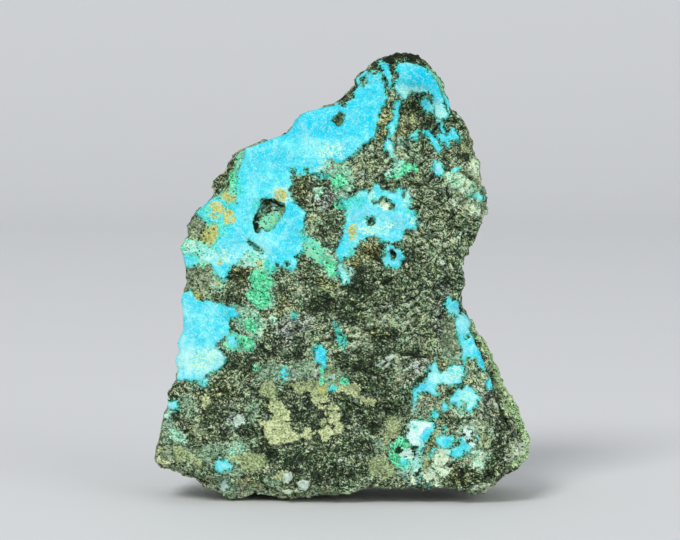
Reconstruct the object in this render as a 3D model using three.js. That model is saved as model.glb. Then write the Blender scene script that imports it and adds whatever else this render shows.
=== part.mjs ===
import * as THREE from 'three';
import { ImprovedNoise } from 'three/addons/math/ImprovedNoise.js';

// A slab of dark schist with a thin copper crust on one face, broken out of its bed as one piece.
// Millimetres. The crusted face looks along -Y, +X is to its right, and +Z is up.

// Overall sizes
const height = 89; // from the surface that it stands on to the peak
const faceFoot = 15.5; // front face ahead of the middle plane, at the base
const facePeak = 7; // the same at the peak
const backFoot = 14.5; // back face behind the middle plane, at the base
const backPeak = 6.5; // the same at the peak
const footCut = 0.38; // lumps of the base lower than this are worn flat
const frontSpacing = 1.55; // size of the facets on the front face
const backSpacing = 2.3; // size of the facets on the back face

// The outlines are drawn on a grid, u to the right and v down.
const gridPeak = 51; // row of the highest point
const gridFloor = 496; // row of the surface that it stands on
const gridMiddle = 343.7; // column of the middle
const mm = height / (gridFloor - gridPeak); // one grid step

// Outline as seen from the front, clockwise from the lower left corner
const outline = [
  [156, 459], [156.5, 450], [158, 442], [160, 431], [161.5, 423], [162.7, 415.5], [163.3, 409],
  [167, 405], [167.7, 400], [168.6, 393.6], [171, 387], [174.5, 381], [177.4, 376], [178.7, 370],
  [179.5, 364], [176.3, 360], [177.2, 353], [181.8, 347.7], [178.6, 340], [182, 332.5],
  [185.3, 325], [184.5, 315.5], [183.5, 305], [182.3, 295], [183.8, 287.5], [186.8, 279],
  [186.3, 270], [185, 261], [184.8, 251.5], [181.5, 244.5], [189, 240.5], [189, 233.6],
  [186.4, 225], [190, 219], [194.6, 213], [201, 206.5], [208, 200.5], [214, 195], [212, 188],
  [213, 179], [218, 174.5], [224.5, 168.5], [228.3, 160], [232.5, 153], [240, 151],
  [247.7, 146.4], [257, 143.5], [268, 140], [278, 137.5], [286.4, 135], [290.5, 128.5],
  [295, 120], [300.5, 113.5], [308, 111], [317, 109.3], [327, 107], [334.5, 104.7], [341, 99],
  [347, 92.5], [352, 86.5], [355, 78], [361, 73.4], [367.5, 68.5], [371.5, 61.5], [378, 57.5],
  [386, 54.6], [394.5, 52.7], [403, 51], [412, 52], [420, 55], [426, 60.5], [432, 67],
  [438.5, 73.5], [443.6, 81], [446, 90], [450.5, 98.5], [452.5, 107.5], [458.5, 116],
  [467, 124], [470.3, 132], [473.2, 142], [475, 152.5], [479, 161], [480, 171], [481, 182],
  [486, 193], [489.5, 199.5], [487, 208.5], [484, 218.5], [480, 227.5], [476.5, 235.5],
  [472.5, 243], [467.5, 251.5], [464, 261], [463.5, 270.5], [464.5, 280], [461.8, 291],
  [463, 301], [466.5, 310], [472, 320.5], [478.5, 330], [484.6, 340], [490.2, 349.5],
  [495.5, 360], [499.5, 369.5], [503.8, 379], [509.3, 389.5], [514.5, 397.3], [519, 406],
  [523, 414.5], [526.4, 423.6], [528.5, 432], [531.4, 438], [530.4, 446], [529, 454],
  [522.5, 460], [517, 467], [508, 470.8], [502.5, 478.5], [495, 485.3], [487, 490.4],
  [477.5, 494], [468, 492], [459, 490], [449.5, 487.6], [440.5, 485.6], [431, 488],
  [420, 488.6], [408, 488.8], [396, 488.3], [384, 487], [373, 487.5], [363, 489.8],
  [351, 493.2], [339, 494.3], [327, 494.6], [315, 495.3], [305.5, 498], [293, 499.5],
  [281, 498.5], [271, 496.5], [262, 493.6], [252, 495.2], [243, 497.5], [232, 499],
  [223.5, 497.5], [214, 492], [204.7, 488.8], [197, 480], [189, 477.3], [180, 473.8],
  [170, 468.6], [162, 466.5],
];

// Where the front layer stops short of the outline and the layer behind it shows as a shelf:
// centre on the grid, reach along the edge, width of the shelf, its depth behind the face in mm
const shelves = [
  { at: [223, 171], reach: 24, width: 13, drop: 4.5 }, // upper left shoulder
  { at: [352, 86], reach: 26, width: 6, drop: 3.5 }, // left flank of the peak
  { at: [400, 52], reach: 36, width: 10, drop: 4 }, // cap over the peak
  { at: [444, 84], reach: 20, width: 6, drop: 3 }, // right flank of the peak
  { at: [484, 196], reach: 40, width: 4, drop: 3.5 }, // cheek on the right
  { at: [478, 330], reach: 26, width: 5, drop: 7 }, // top of the green rim
  { at: [506, 384], reach: 42, width: 10, drop: 8 }, // green rim
  { at: [530, 436], reach: 30, width: 11, drop: 8 }, // foot of the green rim
  { at: [486, 492], reach: 34, width: 6, drop: 6 }, // underside, right
  { at: [238, 498], reach: 46, width: 19, drop: 4.5 }, // sloping underside, left
  { at: [300, 500], reach: 44, width: 9, drop: 4.5 },
  { at: [182, 475], reach: 28, width: 9, drop: 4 },
];
const plainDrop = 5; // depth of the second layer behind the face where there is no shelf

// Broad swells and hollows of the front face: centre, half sizes, rise in mm
const swells = [
  { at: [425, 200], size: [62, 66], rise: 2.4 }, // knobby body below the peak
  { at: [456, 168], size: [20, 26], rise: 1.1 },
  { at: [398, 246], size: [42, 26], rise: 1 },
  { at: [416, 74], size: [30, 16], rise: 1 }, // arch over the hollow
  { at: [416, 112], size: [19, 20], rise: -3.6 }, // hollow under the arch
  { at: [384, 326], size: [86, 44], rise: 1.9 }, // folded band across the middle
  { at: [300, 352], size: [50, 34], rise: 0.8 },
  { at: [476, 442], size: [44, 50], rise: 1.8 }, // lower right block
  { at: [508, 456], size: [18, 26], rise: 1.4 },
  { at: [214, 460], size: [60, 18], rise: 1.1 }, // lower left block
  { at: [330, 462], size: [60, 26], rise: 0.8 },
  { at: [170, 440], size: [22, 60], rise: -1.4 },
  { at: [188, 250], size: [20, 60], rise: -1 },
  { at: [268, 216], size: [15, 17], rise: -1.6 }, // pits
  { at: [339, 119], size: [6, 8], rise: -1 },
  { at: [399, 449], size: [7, 7], rise: -1 },
  { at: [393, 256], size: [6, 8], rise: -0.8 },
  { at: [463, 309], size: [8, 7], rise: -2.6 }, // notch at the neck
  { at: [326, 300], size: [22, 14], rise: -1.1 },
  { at: [396, 404], size: [18, 10], rise: -1.2 },
];

// Broken edges of layers on the front face. The layer stands proud on the left of the line as it
// is drawn, by rise at the edge, and thins away over reach.
const ledges = [
  { line: [[430, 352], [410, 408], [388, 416], [362, 392], [334, 374]], rise: 1.9, reach: 46 },
  { line: [[436, 276], [441, 306], [448, 336], [433, 360]], rise: -1.9, reach: 30 },
  { line: [[446, 290], [420, 304], [398, 320], [360, 326]], rise: 1.1, reach: 16 },
  { line: [[400, 286], [352, 306], [312, 330], [262, 352]], rise: 1, reach: 14 },
  { line: [[205, 436], [250, 432], [266, 456], [262, 476]], rise: -1.2, reach: 30 },
  { line: [[404, 92], [394, 124], [388, 152], [372, 166]], rise: 0.9, reach: 20 },
  { line: [[246, 268], [228, 300], [240, 336], [228, 366]], rise: -0.9, reach: 22 },
  { line: [[300, 180], [292, 206], [306, 240], [330, 256]], rise: 0.8, reach: 24 },
  { line: [[500, 380], [516, 420], [508, 452]], rise: -1.4, reach: 16 },
];

// Even stretches of the front face, where the crust lies on an old flat crack
const flats = [
  { at: [270, 190], size: [84, 66] },
  { at: [345, 120], size: [44, 50] },
  { at: [208, 336], size: [30, 44] },
  { at: [420, 78], size: [26, 16] },
  { at: [300, 410], size: [40, 34] },
];

const noise = new ImprovedNoise();

function smooth(low, high, x) {
  const t = Math.min(1, Math.max(0, (x - low) / (high - low)));
  return t * t * (3 - 2 * t);
}

function bell(u, v, at, size) {
  const r = Math.hypot((u - at[0]) / size[0], (v - at[1]) / size[1]);
  return Math.exp(-(r ** 3));
}

function seeded(seed) {
  let state = seed;
  return () => {
    state = (state * 16807) % 2147483647;
    return state / 2147483647;
  };
}

// Rise of one broken layer at a point of the face
function ledgeRise(u, v, { line, rise, reach }) {
  let nearest = Infinity;
  let side = 1;
  let along = 0;
  let walked = 0;
  for (let i = 1; i < line.length; i += 1) {
    const [au, av] = line[i - 1];
    const [du, dv] = [line[i][0] - au, line[i][1] - av];
    const length = Math.hypot(du, dv);
    const t = Math.min(1, Math.max(0, ((u - au) * du + (v - av) * dv) / length ** 2));
    const distance = Math.hypot(u - au - du * t, v - av - dv * t);
    if (distance < nearest) {
      nearest = distance;
      side = Math.sign(dv * (u - au) - du * (v - av)) || 1;
      along = walked + length * t;
    }
    walked += length;
  }
  const ends = smooth(0, 12, Math.min(along, walked - along) + 3);
  const away = nearest * side;
  return rise * ends * smooth(-3, 3, away) * Math.exp(-Math.max(0, away) / reach);
}

// Depth of the front face in front of the middle plane
function face(u, v) {
  const up = Math.max(0, gridFloor - v) / (gridFloor - gridPeak);
  let depth = faceFoot + (facePeak - faceFoot) * up ** 0.9;
  for (const { at, size, rise } of swells) depth += rise * bell(u, v, at, size);
  for (const ledge of ledges) depth += ledgeRise(u, v, ledge);
  const even = Math.max(...flats.map(({ at, size }) => bell(u, v, at, size)));
  const rough = 0.75 - 0.55 * even;
  const lumps = noise.noise(u / 24, v / 20, 3.1) + 0.6 * noise.noise(u / 10, v / 9, 7.7);
  const folds = noise.noise((u + 0.4 * v) / 34, (v - 0.35 * u) / 9, 1.3);
  return depth + rough * (1.4 * lumps + 1.2 * folds);
}

// Depth of the back face behind the middle plane, split down in cleavage steps
function back(u, v) {
  const up = Math.max(0, gridFloor - v) / (gridFloor - gridPeak);
  const depth = backFoot + (backPeak - backFoot) * up ** 0.8;
  const across = (0.8 * u - 0.6 * v) / 74 + 1.1 * noise.noise(u / 80, v / 66, 5.5);
  const terrace = Math.floor(across) + smooth(0.84, 1, across - Math.floor(across));
  const lumps = noise.noise(u / 40, v / 30, 9.2) + 0.5 * noise.noise(u / 13, v / 11, 4.4);
  const belly = bell(u, v, [350, 330], [130, 140]);
  return depth + 2.6 * (across - terrace) + 0.6 * lumps + 1.8 * belly - 1.3;
}

// Inward direction at each point of the outline, averaged over its neighbours
function inwardDirections(points, span) {
  return points.map((_, i) => {
    const before = points[(i - span + points.length) % points.length];
    const after = points[(i + span) % points.length];
    const [du, dv] = [after[0] - before[0], after[1] - before[1]];
    const length = Math.hypot(du, dv);
    return [-dv / length, du / length];
  });
}

function averaged(points, span) {
  return points.map((_, i) => {
    const sum = [0, 0];
    for (let k = -span; k <= span; k += 1) {
      const point = points[(i + k + points.length) % points.length];
      sum[0] += point[0] / (2 * span + 1);
      sum[1] += point[1] / (2 * span + 1);
    }
    return sum;
  });
}

const inward = inwardDirections(outline, 3);
const softened = averaged(outline, 2);

// A ring round the edge of the slab, set in from the outline by a width for each point
function ring(setIn, depthAt) {
  return outline.map((point, i) => {
    const width = setIn(i);
    const blend = smooth(2, 9, width);
    const u = point[0] + (softened[i][0] - point[0]) * blend + inward[i][0] * width;
    const v = point[1] + (softened[i][1] - point[1]) * blend + inward[i][1] * width;
    return { u, v, y: depthAt(i, u, v) };
  });
}

const shelfWidth = outline.map(([u, v]) =>
  shelves.reduce((sum, { at, reach, width }) => Math.max(sum, width * bell(u, v, at, [reach, reach])), 1));
const drop = outline.map(([u, v]) => {
  let total = 0.2;
  let sum = 0.2 * plainDrop;
  for (const shelf of shelves) {
    const weight = bell(u, v, shelf.at, [shelf.reach, shelf.reach]);
    total += weight;
    sum += weight * shelf.drop;
  }
  return sum / total;
});
const grooveWidth = outline.map(([u, v]) => 3.5 * bell(u, v, [510, 400], [40, 60]));
const faceLine = outline.map(([u, v]) => face(u, v));
const backLine = outline.map(([u, v]) => back(u, v));

// How ragged an edge is at each point: 0 to about 2, in lumps of the given size on the grid
function ragged(i, level, lump) {
  const [u, v] = outline[i];
  return Math.max(0, 1 + 1.6 * noise.noise(u / lump, v / lump, level * 3.7));
}

// The layers behind the front one break off in steps, each a little further in.
const second = (i) => drop[i] - faceLine[i];
const third = (i) => second(i) + 2.2 + 1.2 * ragged(i, 5, 30);
const fourth = (i) => third(i) + (backLine[i] - third(i)) * (0.3 + 0.16 * ragged(i, 6, 40));

const rings = [
  ring((i) => shelfWidth[i] + 0.8 * ragged(i, 1, 9), (i, u, v) => 0.4 - face(u, v)),
  ring((i) => shelfWidth[i] - 0.8 + 0.9 * ragged(i, 2, 9), (i) => 0.45 * drop[i] - faceLine[i]),
  ring((i) => 0.8 * shelfWidth[i] + grooveWidth[i] + ragged(i, 3, 9), (i) => second(i) - 0.8),
  ring((i) => 0.8 * ragged(i, 4, 9), second),
  ring(() => 0, (i) => third(i) - 0.4),
  ring((i) => 0.5 + 2.6 * ragged(i, 5, 24), third),
  ring((i) => 3.2 * ragged(i, 6, 30), (i) => fourth(i) - 0.4),
  ring((i) => 1 + 5.5 * ragged(i, 7, 32), fourth),
  ring((i) => 3 + 5.5 * ragged(i, 8, 30), (i) => fourth(i) + 0.6 * (backLine[i] - fourth(i))),
  ring((i) => 9 + 6 * ragged(i, 9, 22), (i, u, v) => back(u, v)),
];

// Lumps of the base that carry the slab: middle and half width on the grid, first and last ring
const feet = [
  { at: 262, half: 44, rings: [3, 5] },
  { at: 284, half: 34, rings: [6, 8] },
  { at: 476, half: 14, rings: [7, 8] },
];
rings.forEach((points, level) => {
  outline.forEach(([u, v], i) => {
    const onBase = v > 480 && points[i].v > 470;
    const carries = ({ at, half, rings: [from, to] }) =>
      onBase && Math.abs(u - at) < half && level >= from && level <= to;
    if (feet.some(carries)) points[i].v = gridFloor;
  });
});

function insideLoop(u, v, loop) {
  let inside = false;
  for (let i = 0, j = loop.length - 1; i < loop.length; j = i, i += 1) {
    const [a, b] = [loop[i], loop[j]];
    if (a.v > v !== b.v > v && u < ((b.u - a.u) * (v - a.v)) / (b.v - a.v) + a.u) inside = !inside;
  }
  return inside;
}

function distanceToLoop(u, v, loop) {
  let nearest = Infinity;
  loop.forEach((a, i) => {
    const b = loop[(i + 1) % loop.length];
    const [du, dv] = [b.u - a.u, b.v - a.v];
    const t = Math.min(1, Math.max(0, ((u - a.u) * du + (v - a.v) * dv) / (du * du + dv * dv)));
    nearest = Math.min(nearest, Math.hypot(u - a.u - du * t, v - a.v - dv * t));
  });
  return nearest;
}

// Points scattered evenly inside a loop, in offset rows with some jitter, clear of its edge
function scatter(loop, spacing, seed, depthAt) {
  const random = seeded(seed);
  const pitch = spacing / mm;
  const points = [];
  let row = 0;
  for (let v = gridPeak; v < gridFloor; v += pitch * 0.87) {
    row += 1;
    for (let u = 150 + (row % 2) * pitch * 0.5; u < 540; u += pitch) {
      const at = { u: u + (random() - 0.5) * pitch * 0.45, v: v + (random() - 0.5) * pitch * 0.4 };
      if (insideLoop(at.u, at.v, loop) && distanceToLoop(at.u, at.v, loop) > pitch * 0.5) {
        points.push({ ...at, y: depthAt(at.u, at.v) });
      }
    }
  }
  return points;
}

function triangle(points, a, b, c) {
  const [p, q, r] = [points[a], points[b], points[c]];
  const d = 2 * (p.u * (q.v - r.v) + q.u * (r.v - p.v) + r.u * (p.v - q.v));
  const [pp, qq, rr] = [p, q, r].map(({ u, v }) => u * u + v * v);
  const u = (pp * (q.v - r.v) + qq * (r.v - p.v) + rr * (p.v - q.v)) / d;
  const v = (pp * (r.u - q.u) + qq * (p.u - r.u) + rr * (q.u - p.u)) / d;
  return { corners: [a, b, c], u, v, reach: Math.hypot(p.u - u, p.v - v) };
}

// Delaunay triangles of the points, added one at a time, kept where they lie inside the loop
function triangulate(points, loop) {
  const count = points.length;
  const far = 9000;
  const all = [...points, { u: -far, v: -far }, { u: far, v: -far }, { u: 0, v: far }];
  let triangles = [triangle(all, count, count + 1, count + 2)];
  for (let i = 0; i < count; i += 1) {
    const open = new Map();
    const kept = [];
    for (const one of triangles) {
      if (Math.hypot(all[i].u - one.u, all[i].v - one.v) >= one.reach) {
        kept.push(one);
      } else {
        one.corners.forEach((a, k) => {
          const b = one.corners[(k + 1) % 3];
          if (!open.delete(`${b} ${a}`)) open.set(`${a} ${b}`, [a, b]);
        });
      }
    }
    for (const [a, b] of open.values()) kept.push(triangle(all, a, b, i));
    triangles = kept;
  }
  return triangles
    .map(({ corners }) => corners)
    .filter((corners) => corners.every((corner) => corner < count))
    .filter(([a, b, c]) => {
      const [p, q, r] = [all[a], all[b], all[c]];
      return insideLoop((p.u + q.u + r.u) / 3, (p.v + q.v + r.v) / 3, loop);
    });
}

const positions = [];
const indices = [];

function addVertex({ u, v, y }) {
  const z = (gridFloor - v) * mm;
  positions.push((u - gridMiddle) * mm, y, z < footCut ? 0 : z);
  return positions.length / 3 - 1;
}

function addFace(loop, loopIndices, spacing, seed, depthAt, turn) {
  const inner = scatter(loop, spacing, seed, depthAt);
  const ids = [...loopIndices, ...inner.map(addVertex)];
  for (const [a, b, c] of triangulate([...loop, ...inner], loop)) {
    indices.push(...(turn ? [ids[a], ids[c], ids[b]] : [ids[a], ids[b], ids[c]]));
  }
}

const ringIndices = rings.map((points) => points.map(addVertex));
const steps = outline.length;
for (let k = 1; k < rings.length; k += 1) {
  for (let i = 0; i < steps; i += 1) {
    const next = (i + 1) % steps;
    const [a, b] = [ringIndices[k - 1][i], ringIndices[k - 1][next]];
    const [c, d] = [ringIndices[k][i], ringIndices[k][next]];
    indices.push(...((i + k) % 2 ? [a, b, c, b, d, c] : [a, b, d, a, d, c]));
  }
}
addFace(rings[0], ringIndices[0], frontSpacing, 71, (u, v) => -face(u, v), true);
addFace(rings.at(-1), ringIndices.at(-1), backSpacing, 53, back, false);

const geometry = new THREE.BufferGeometry();
geometry.setAttribute('position', new THREE.Float32BufferAttribute(positions, 3));
geometry.setIndex(indices);
geometry.computeBoundingBox();
const middle = geometry.boundingBox.getCenter(new THREE.Vector3());
geometry.translate(-middle.x, -middle.y, 0);
geometry.computeVertexNormals();

const schist = new THREE.MeshStandardMaterial({ color: 0x4f5a4a, roughness: 0.85, metalness: 0 });
const specimen = new THREE.Mesh(geometry, schist);
specimen.name = 'specimen';

const part = new THREE.Group();
part.add(specimen);

export default part;
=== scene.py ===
import itertools
import math

import bpy
import numpy as np
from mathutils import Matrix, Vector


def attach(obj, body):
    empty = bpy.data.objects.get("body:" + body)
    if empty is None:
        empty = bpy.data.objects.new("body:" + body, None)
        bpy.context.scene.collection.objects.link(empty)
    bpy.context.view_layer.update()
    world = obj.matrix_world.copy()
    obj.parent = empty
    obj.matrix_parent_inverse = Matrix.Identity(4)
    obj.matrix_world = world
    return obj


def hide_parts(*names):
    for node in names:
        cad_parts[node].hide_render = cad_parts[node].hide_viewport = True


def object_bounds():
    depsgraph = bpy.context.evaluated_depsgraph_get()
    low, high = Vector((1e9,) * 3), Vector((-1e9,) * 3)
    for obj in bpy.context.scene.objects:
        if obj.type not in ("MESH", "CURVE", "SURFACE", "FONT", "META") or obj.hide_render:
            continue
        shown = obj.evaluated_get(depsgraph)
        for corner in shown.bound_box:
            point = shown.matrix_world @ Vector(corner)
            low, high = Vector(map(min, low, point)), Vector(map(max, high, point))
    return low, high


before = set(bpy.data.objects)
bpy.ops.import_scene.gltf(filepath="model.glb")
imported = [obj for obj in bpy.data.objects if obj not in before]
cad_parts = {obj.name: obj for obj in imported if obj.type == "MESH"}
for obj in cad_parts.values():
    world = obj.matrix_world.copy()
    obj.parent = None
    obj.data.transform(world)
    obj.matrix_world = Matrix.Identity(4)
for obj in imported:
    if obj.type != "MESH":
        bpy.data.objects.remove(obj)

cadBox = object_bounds()
mmInMetre = 1000
noiseCells = 32  # cells along each side before a noise repeats
print("frame loaded")

# The front face is laid out as the camera sees it, on a drawing with u to the right and v down
view = {
    "distance": 567.0,   # mm from the camera to the target
    "elevation": 3.5,    # degrees
    "target": (-0.7, 0.0, 45.2),  # mm
    "targetColumn": 340,  # where the target is on the drawing
    "targetRow": 270,
    "steps": 5.0,        # steps of the drawing in 1 mm at the target
}
farSteps = 14.0  # distances to an outline are told apart up to here, in steps of the drawing

# Turquoise crust, patch by patch
cyanPatches = {
    "shoulder": [
        (247, 138), (262, 134), (290, 124), (300, 108), (320, 101), (336, 101), (345, 107), (348, 102),
        (353, 98), (355, 93), (357, 86), (355, 80), (357, 77), (362, 74), (366, 71), (370, 73), (378, 74),
        (381, 76), (384, 83), (385, 90), (386, 98), (385, 104), (380, 108), (379, 115), (378, 121),
        (377, 127), (374, 134), (370, 141), (364, 145), (358, 149), (352, 155), (346, 159), (341, 163),
        (327, 160), (323, 165), (322, 172), (315, 173), (300, 174), (288, 178), (292, 184), (290, 190),
        (292, 200), (298, 207), (306, 213), (304, 222), (303, 232), (302, 238), (304, 248), (303, 252),
        (296, 257), (298, 262), (297, 268), (290, 271), (283, 266), (270, 268), (268, 262), (262, 256),
        (250, 252), (243, 256), (238, 262), (232, 266), (228, 271), (227, 277), (223, 279.5), (218, 276),
        (214, 270), (210, 263), (202, 260), (202, 252), (209, 249), (216, 243), (220, 236), (220, 228),
        (214, 222), (206, 222), (199, 216), (195, 212), (200, 206), (206, 201), (213, 198), (219, 197),
        (227, 203), (236, 203), (237, 196), (236, 188), (238, 180), (237, 172), (239, 166), (241, 160),
        (244, 153),
    ],
    "peakStreak": [(378, 64), (383, 62), (388, 64), (389, 70), (391, 77), (392, 85), (390, 89), (388, 82),
                   (386, 75), (383, 69)],
    "arch": [
        (398, 64), (402, 62), (408, 63), (415, 64), (421, 66), (426, 68), (430, 72), (435, 79), (438, 84),
        (441, 92), (443, 100), (444, 107), (447, 111), (450, 114), (449, 119), (446, 120), (440, 119),
        (436, 117), (434, 112), (433, 104), (433, 98), (431, 94), (427, 91), (420, 94), (411, 91),
        (408, 96), (406, 99), (402, 99), (399, 95), (396, 92), (394, 87), (396, 83), (398, 78), (397, 70),
    ],
    "archStrip": [(444, 95), (448, 97), (451, 101), (452, 108), (449, 110), (446, 104)],
    "hollowFleck": [(422, 101), (427, 99), (433, 104), (434, 113), (428, 112), (423, 109)],
    "drip": [(438, 118), (441, 118), (443, 127), (446, 134), (442, 135), (440, 127)],
    "branch": [
        (398, 100), (402, 101), (401, 107), (398, 112), (400, 116), (399, 122), (396, 127), (393, 131),
        (391, 134), (389, 138), (393, 142), (394, 149), (392, 154), (396, 160), (393, 158), (388, 151),
        (386, 148), (384, 144), (385, 139), (389, 133), (389, 128), (387, 125), (392, 122), (395, 117),
        (393, 112), (396, 110), (395, 104),
    ],
    "leftWing": [(422, 130), (429, 131), (433, 134), (437, 141), (440, 145), (442, 150), (438, 151),
                 (434, 148), (431, 142), (428, 136)],
    "rightWing": [(436, 133), (442, 134), (447, 136), (450, 130), (453, 127), (456, 133), (460, 137),
                  (455, 140), (451, 141), (448, 146), (446, 149), (443, 142), (439, 140)],
    "wingFleck": [(408, 138), (411, 135), (418, 133), (417, 136), (412, 139)],
    "cheekDrop": [
        (433, 161), (439, 162), (443, 166), (444, 172), (441, 177), (437, 176), (434, 171), (432, 166),
    ],
    "cheekFleck": [(475, 194), (481, 193), (486, 198), (480, 201), (475, 198)],
    "cheekDot": [(453, 169), (457, 167), (460, 170), (456, 172)],
    "middle": [
        (350, 198), (356, 196), (359, 191), (364, 189), (370, 193), (374, 190), (374, 184), (379, 184),
        (381, 190), (390, 191), (396, 191), (399, 185), (401, 190), (404, 194), (409, 193), (412, 196),
        (411, 201), (408, 206), (411, 209), (415, 210), (416, 216), (417, 222), (417, 229), (412, 229),
        (406, 229), (404, 232), (403, 238), (399, 241), (393, 242), (388, 241), (382, 242), (378, 238),
        (373, 234), (369, 237), (363, 240), (359, 243), (356, 248), (355, 255), (350, 256), (344, 257),
        (341, 262), (342, 267), (345, 272), (348, 277), (349, 281), (344, 282), (340, 276), (338, 270),
        (339, 262), (338, 255), (335, 250), (340, 243), (343, 235), (345, 222), (346, 210), (340, 200),
    ],
    "smallRing": [(387, 246), (392, 247), (397, 248), (402, 252), (404, 258), (401, 263), (399, 268),
                  (395, 267), (390, 266), (386, 268), (384, 265), (385, 260), (384, 254)],
    "leftBlock": [
        (176, 291), (182, 294), (186, 292), (191, 291), (194, 296), (198, 300), (203, 301), (208, 299),
        (213, 301), (217, 304), (222, 303), (224, 306), (229, 307), (234, 307), (237, 311), (240, 317),
        (231, 318), (229, 324), (229, 331), (226, 337), (222, 341), (217, 344), (215, 349), (219, 352),
        (224, 354), (226, 360), (223, 366), (218, 369), (213, 371), (208, 374), (201, 381), (196, 380),
        (191, 382), (186, 380), (181, 380), (172, 381), (170, 350), (176, 330),
    ],
    "leftDrops": [(229, 334), (235, 334), (237, 340), (238, 347), (233, 349), (230, 345), (228, 340)],
    "lowDrop": [(203, 379), (207, 380), (208, 384), (206, 388), (202, 385)],
    "tab": [(179, 255), (188, 254), (199, 257), (197, 264), (190, 267), (180, 267)],
    "middleDrop": [(319, 346), (323, 348), (326, 352), (326, 357), (325, 361), (327, 365), (327, 369),
                   (323, 368), (321, 364), (317, 362), (314, 357), (314, 351)],
    "middleFleck": [(282, 370), (287, 369), (289, 373), (286, 377), (281, 376), (279, 374)],
    "footFleck": [(216, 462), (219, 458), (224, 461), (228, 460), (232, 465), (231, 470), (224, 470),
                  (222, 474), (217, 472), (215, 467)],
    "edgeFleck": [(167, 403), (171, 402), (177, 401), (178, 408), (172, 410), (168, 407)],
    "neck": [
        (447, 299), (452, 298), (453, 301), (458, 301), (461, 303), (459, 309), (458, 314), (464, 314),
        (468, 315), (469, 320), (471, 327), (474, 333), (476, 339), (476, 344), (479, 347), (481, 350),
        (483, 356), (485, 363), (487, 368), (485, 372), (482, 368), (478, 364), (476, 358), (470, 358),
        (466, 357), (464, 363), (461, 356), (463, 350), (461, 345), (460, 340), (457, 334), (456, 327),
        (455, 321), (457, 317), (453, 315), (449, 311), (447, 305),
    ],
    "neckDrop": [(489, 376), (492, 378), (494, 383), (492, 388), (488, 390), (487, 384)],
    "lowerRight": [
        (428, 366), (434, 364), (437, 361), (438, 368), (441, 374), (446, 371), (450, 367), (455, 365),
        (461, 365), (465, 369), (464, 374), (462, 378), (461, 383), (456, 385), (449, 385), (443, 383),
        (438, 384), (436, 388), (438, 392), (441, 394), (436, 396), (431, 394), (428, 391), (422, 392),
        (418, 394), (417, 400), (415, 404), (414, 409), (412, 409), (413, 402), (413, 394), (414, 388),
        (418, 385), (424, 383), (427, 378), (427, 371),
    ],
    "lowerStep": [
        (468, 384), (471, 388), (475, 393), (480, 398), (477, 403), (473, 407), (469, 412), (467, 410),
        (466, 404), (461, 401), (460, 407), (456, 407), (455, 402), (451, 401), (451, 397), (454, 393),
        (457, 389), (462, 390), (465, 387),
    ],
    "lowerFlecks": [(442, 405), (445, 403), (449, 406), (447, 411), (443, 410)],
    "lowerTeal": [(431, 412), (435, 411), (439, 414), (436, 418), (432, 420)],
    "whiteBlue": [
        (410, 422), (414, 421), (424, 420), (430, 422), (434, 422), (434, 427), (432, 432), (430, 437),
        (427, 441), (425, 444), (423, 449), (421, 454), (418, 452), (418, 447), (413, 445), (410, 441),
        (406, 438), (408, 434), (409, 429),
    ],
    "lowPair": [
        (437, 437), (443, 435), (450, 437), (455, 440), (452, 445), (449, 449), (443, 448), (439, 445),
        (437, 441),
    ],
    "lowStar": [
        (449, 452), (455, 447), (460, 444), (461, 438), (463, 436), (467, 441), (471, 446), (472, 449),
        (466, 450), (464, 454), (459, 457), (454, 459), (450, 456),
    ],
    "lowSide": [(430, 456), (431, 450), (434, 447), (436, 449), (434, 454), (432, 457)],
    "ringInside": [(399, 460), (402, 457), (408, 458), (407, 463), (402, 465)],
    "creamFleck": [(328, 389), (331, 386), (336, 387), (334, 391), (330, 392)],
}
# Bare rock inside the crust
cyanHoles = {
    "pit": [(262, 199), (268, 200), (275, 199), (280, 203), (284, 204), (284, 212), (281, 218), (278, 223),
            (274, 228), (268, 231), (263, 229), (260, 233), (256, 232), (254, 227), (254, 220), (257, 213),
            (260, 206)],
    "topPit": [(339, 112), (342, 113), (346, 115), (343, 118), (343, 123), (339, 126), (335, 124),
               (334, 121), (332, 120), (336, 117)],
    "scar": [(247, 239), (251, 241), (256, 246), (263, 251), (262, 255), (256, 251), (250, 246)],
    "dotLeft": [(274, 263), (279, 263), (279, 267), (275, 268)],
    "dotRight": [(285, 262), (289, 262), (288, 267), (285, 266)],
    "flakes": [(289, 170), (293, 168), (297, 171), (294, 174), (290, 173)],
    "flake": [(304, 169), (308, 168), (308, 172), (305, 172)],
    "middleGap": [(379, 198), (386, 197), (391, 200), (395, 204), (392, 210), (386, 209), (380, 205)],
    "middleDot": [(371, 200), (375, 199), (376, 203), (373, 205)],
    "middleHole": [(366, 218), (370, 216), (375, 218), (376, 224), (371, 226), (367, 225)],
    "edgeDot": [(402, 193), (405, 194), (405, 198), (402, 197)],
    "ringHole": [(390, 250), (394, 250), (396, 255), (394, 260), (391, 259)],
    "neckDot": [(466, 335), (469, 334), (470, 338), (467, 339)],
    "wingPit": [(441, 141), (445, 140), (447, 144), (444, 147)],
    "peakFlecks": [(361, 78), (366, 76), (367, 81), (364, 88), (360, 86)],
    "blueDot": [(428, 369), (431, 369), (431, 372), (428, 372)],
}
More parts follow.
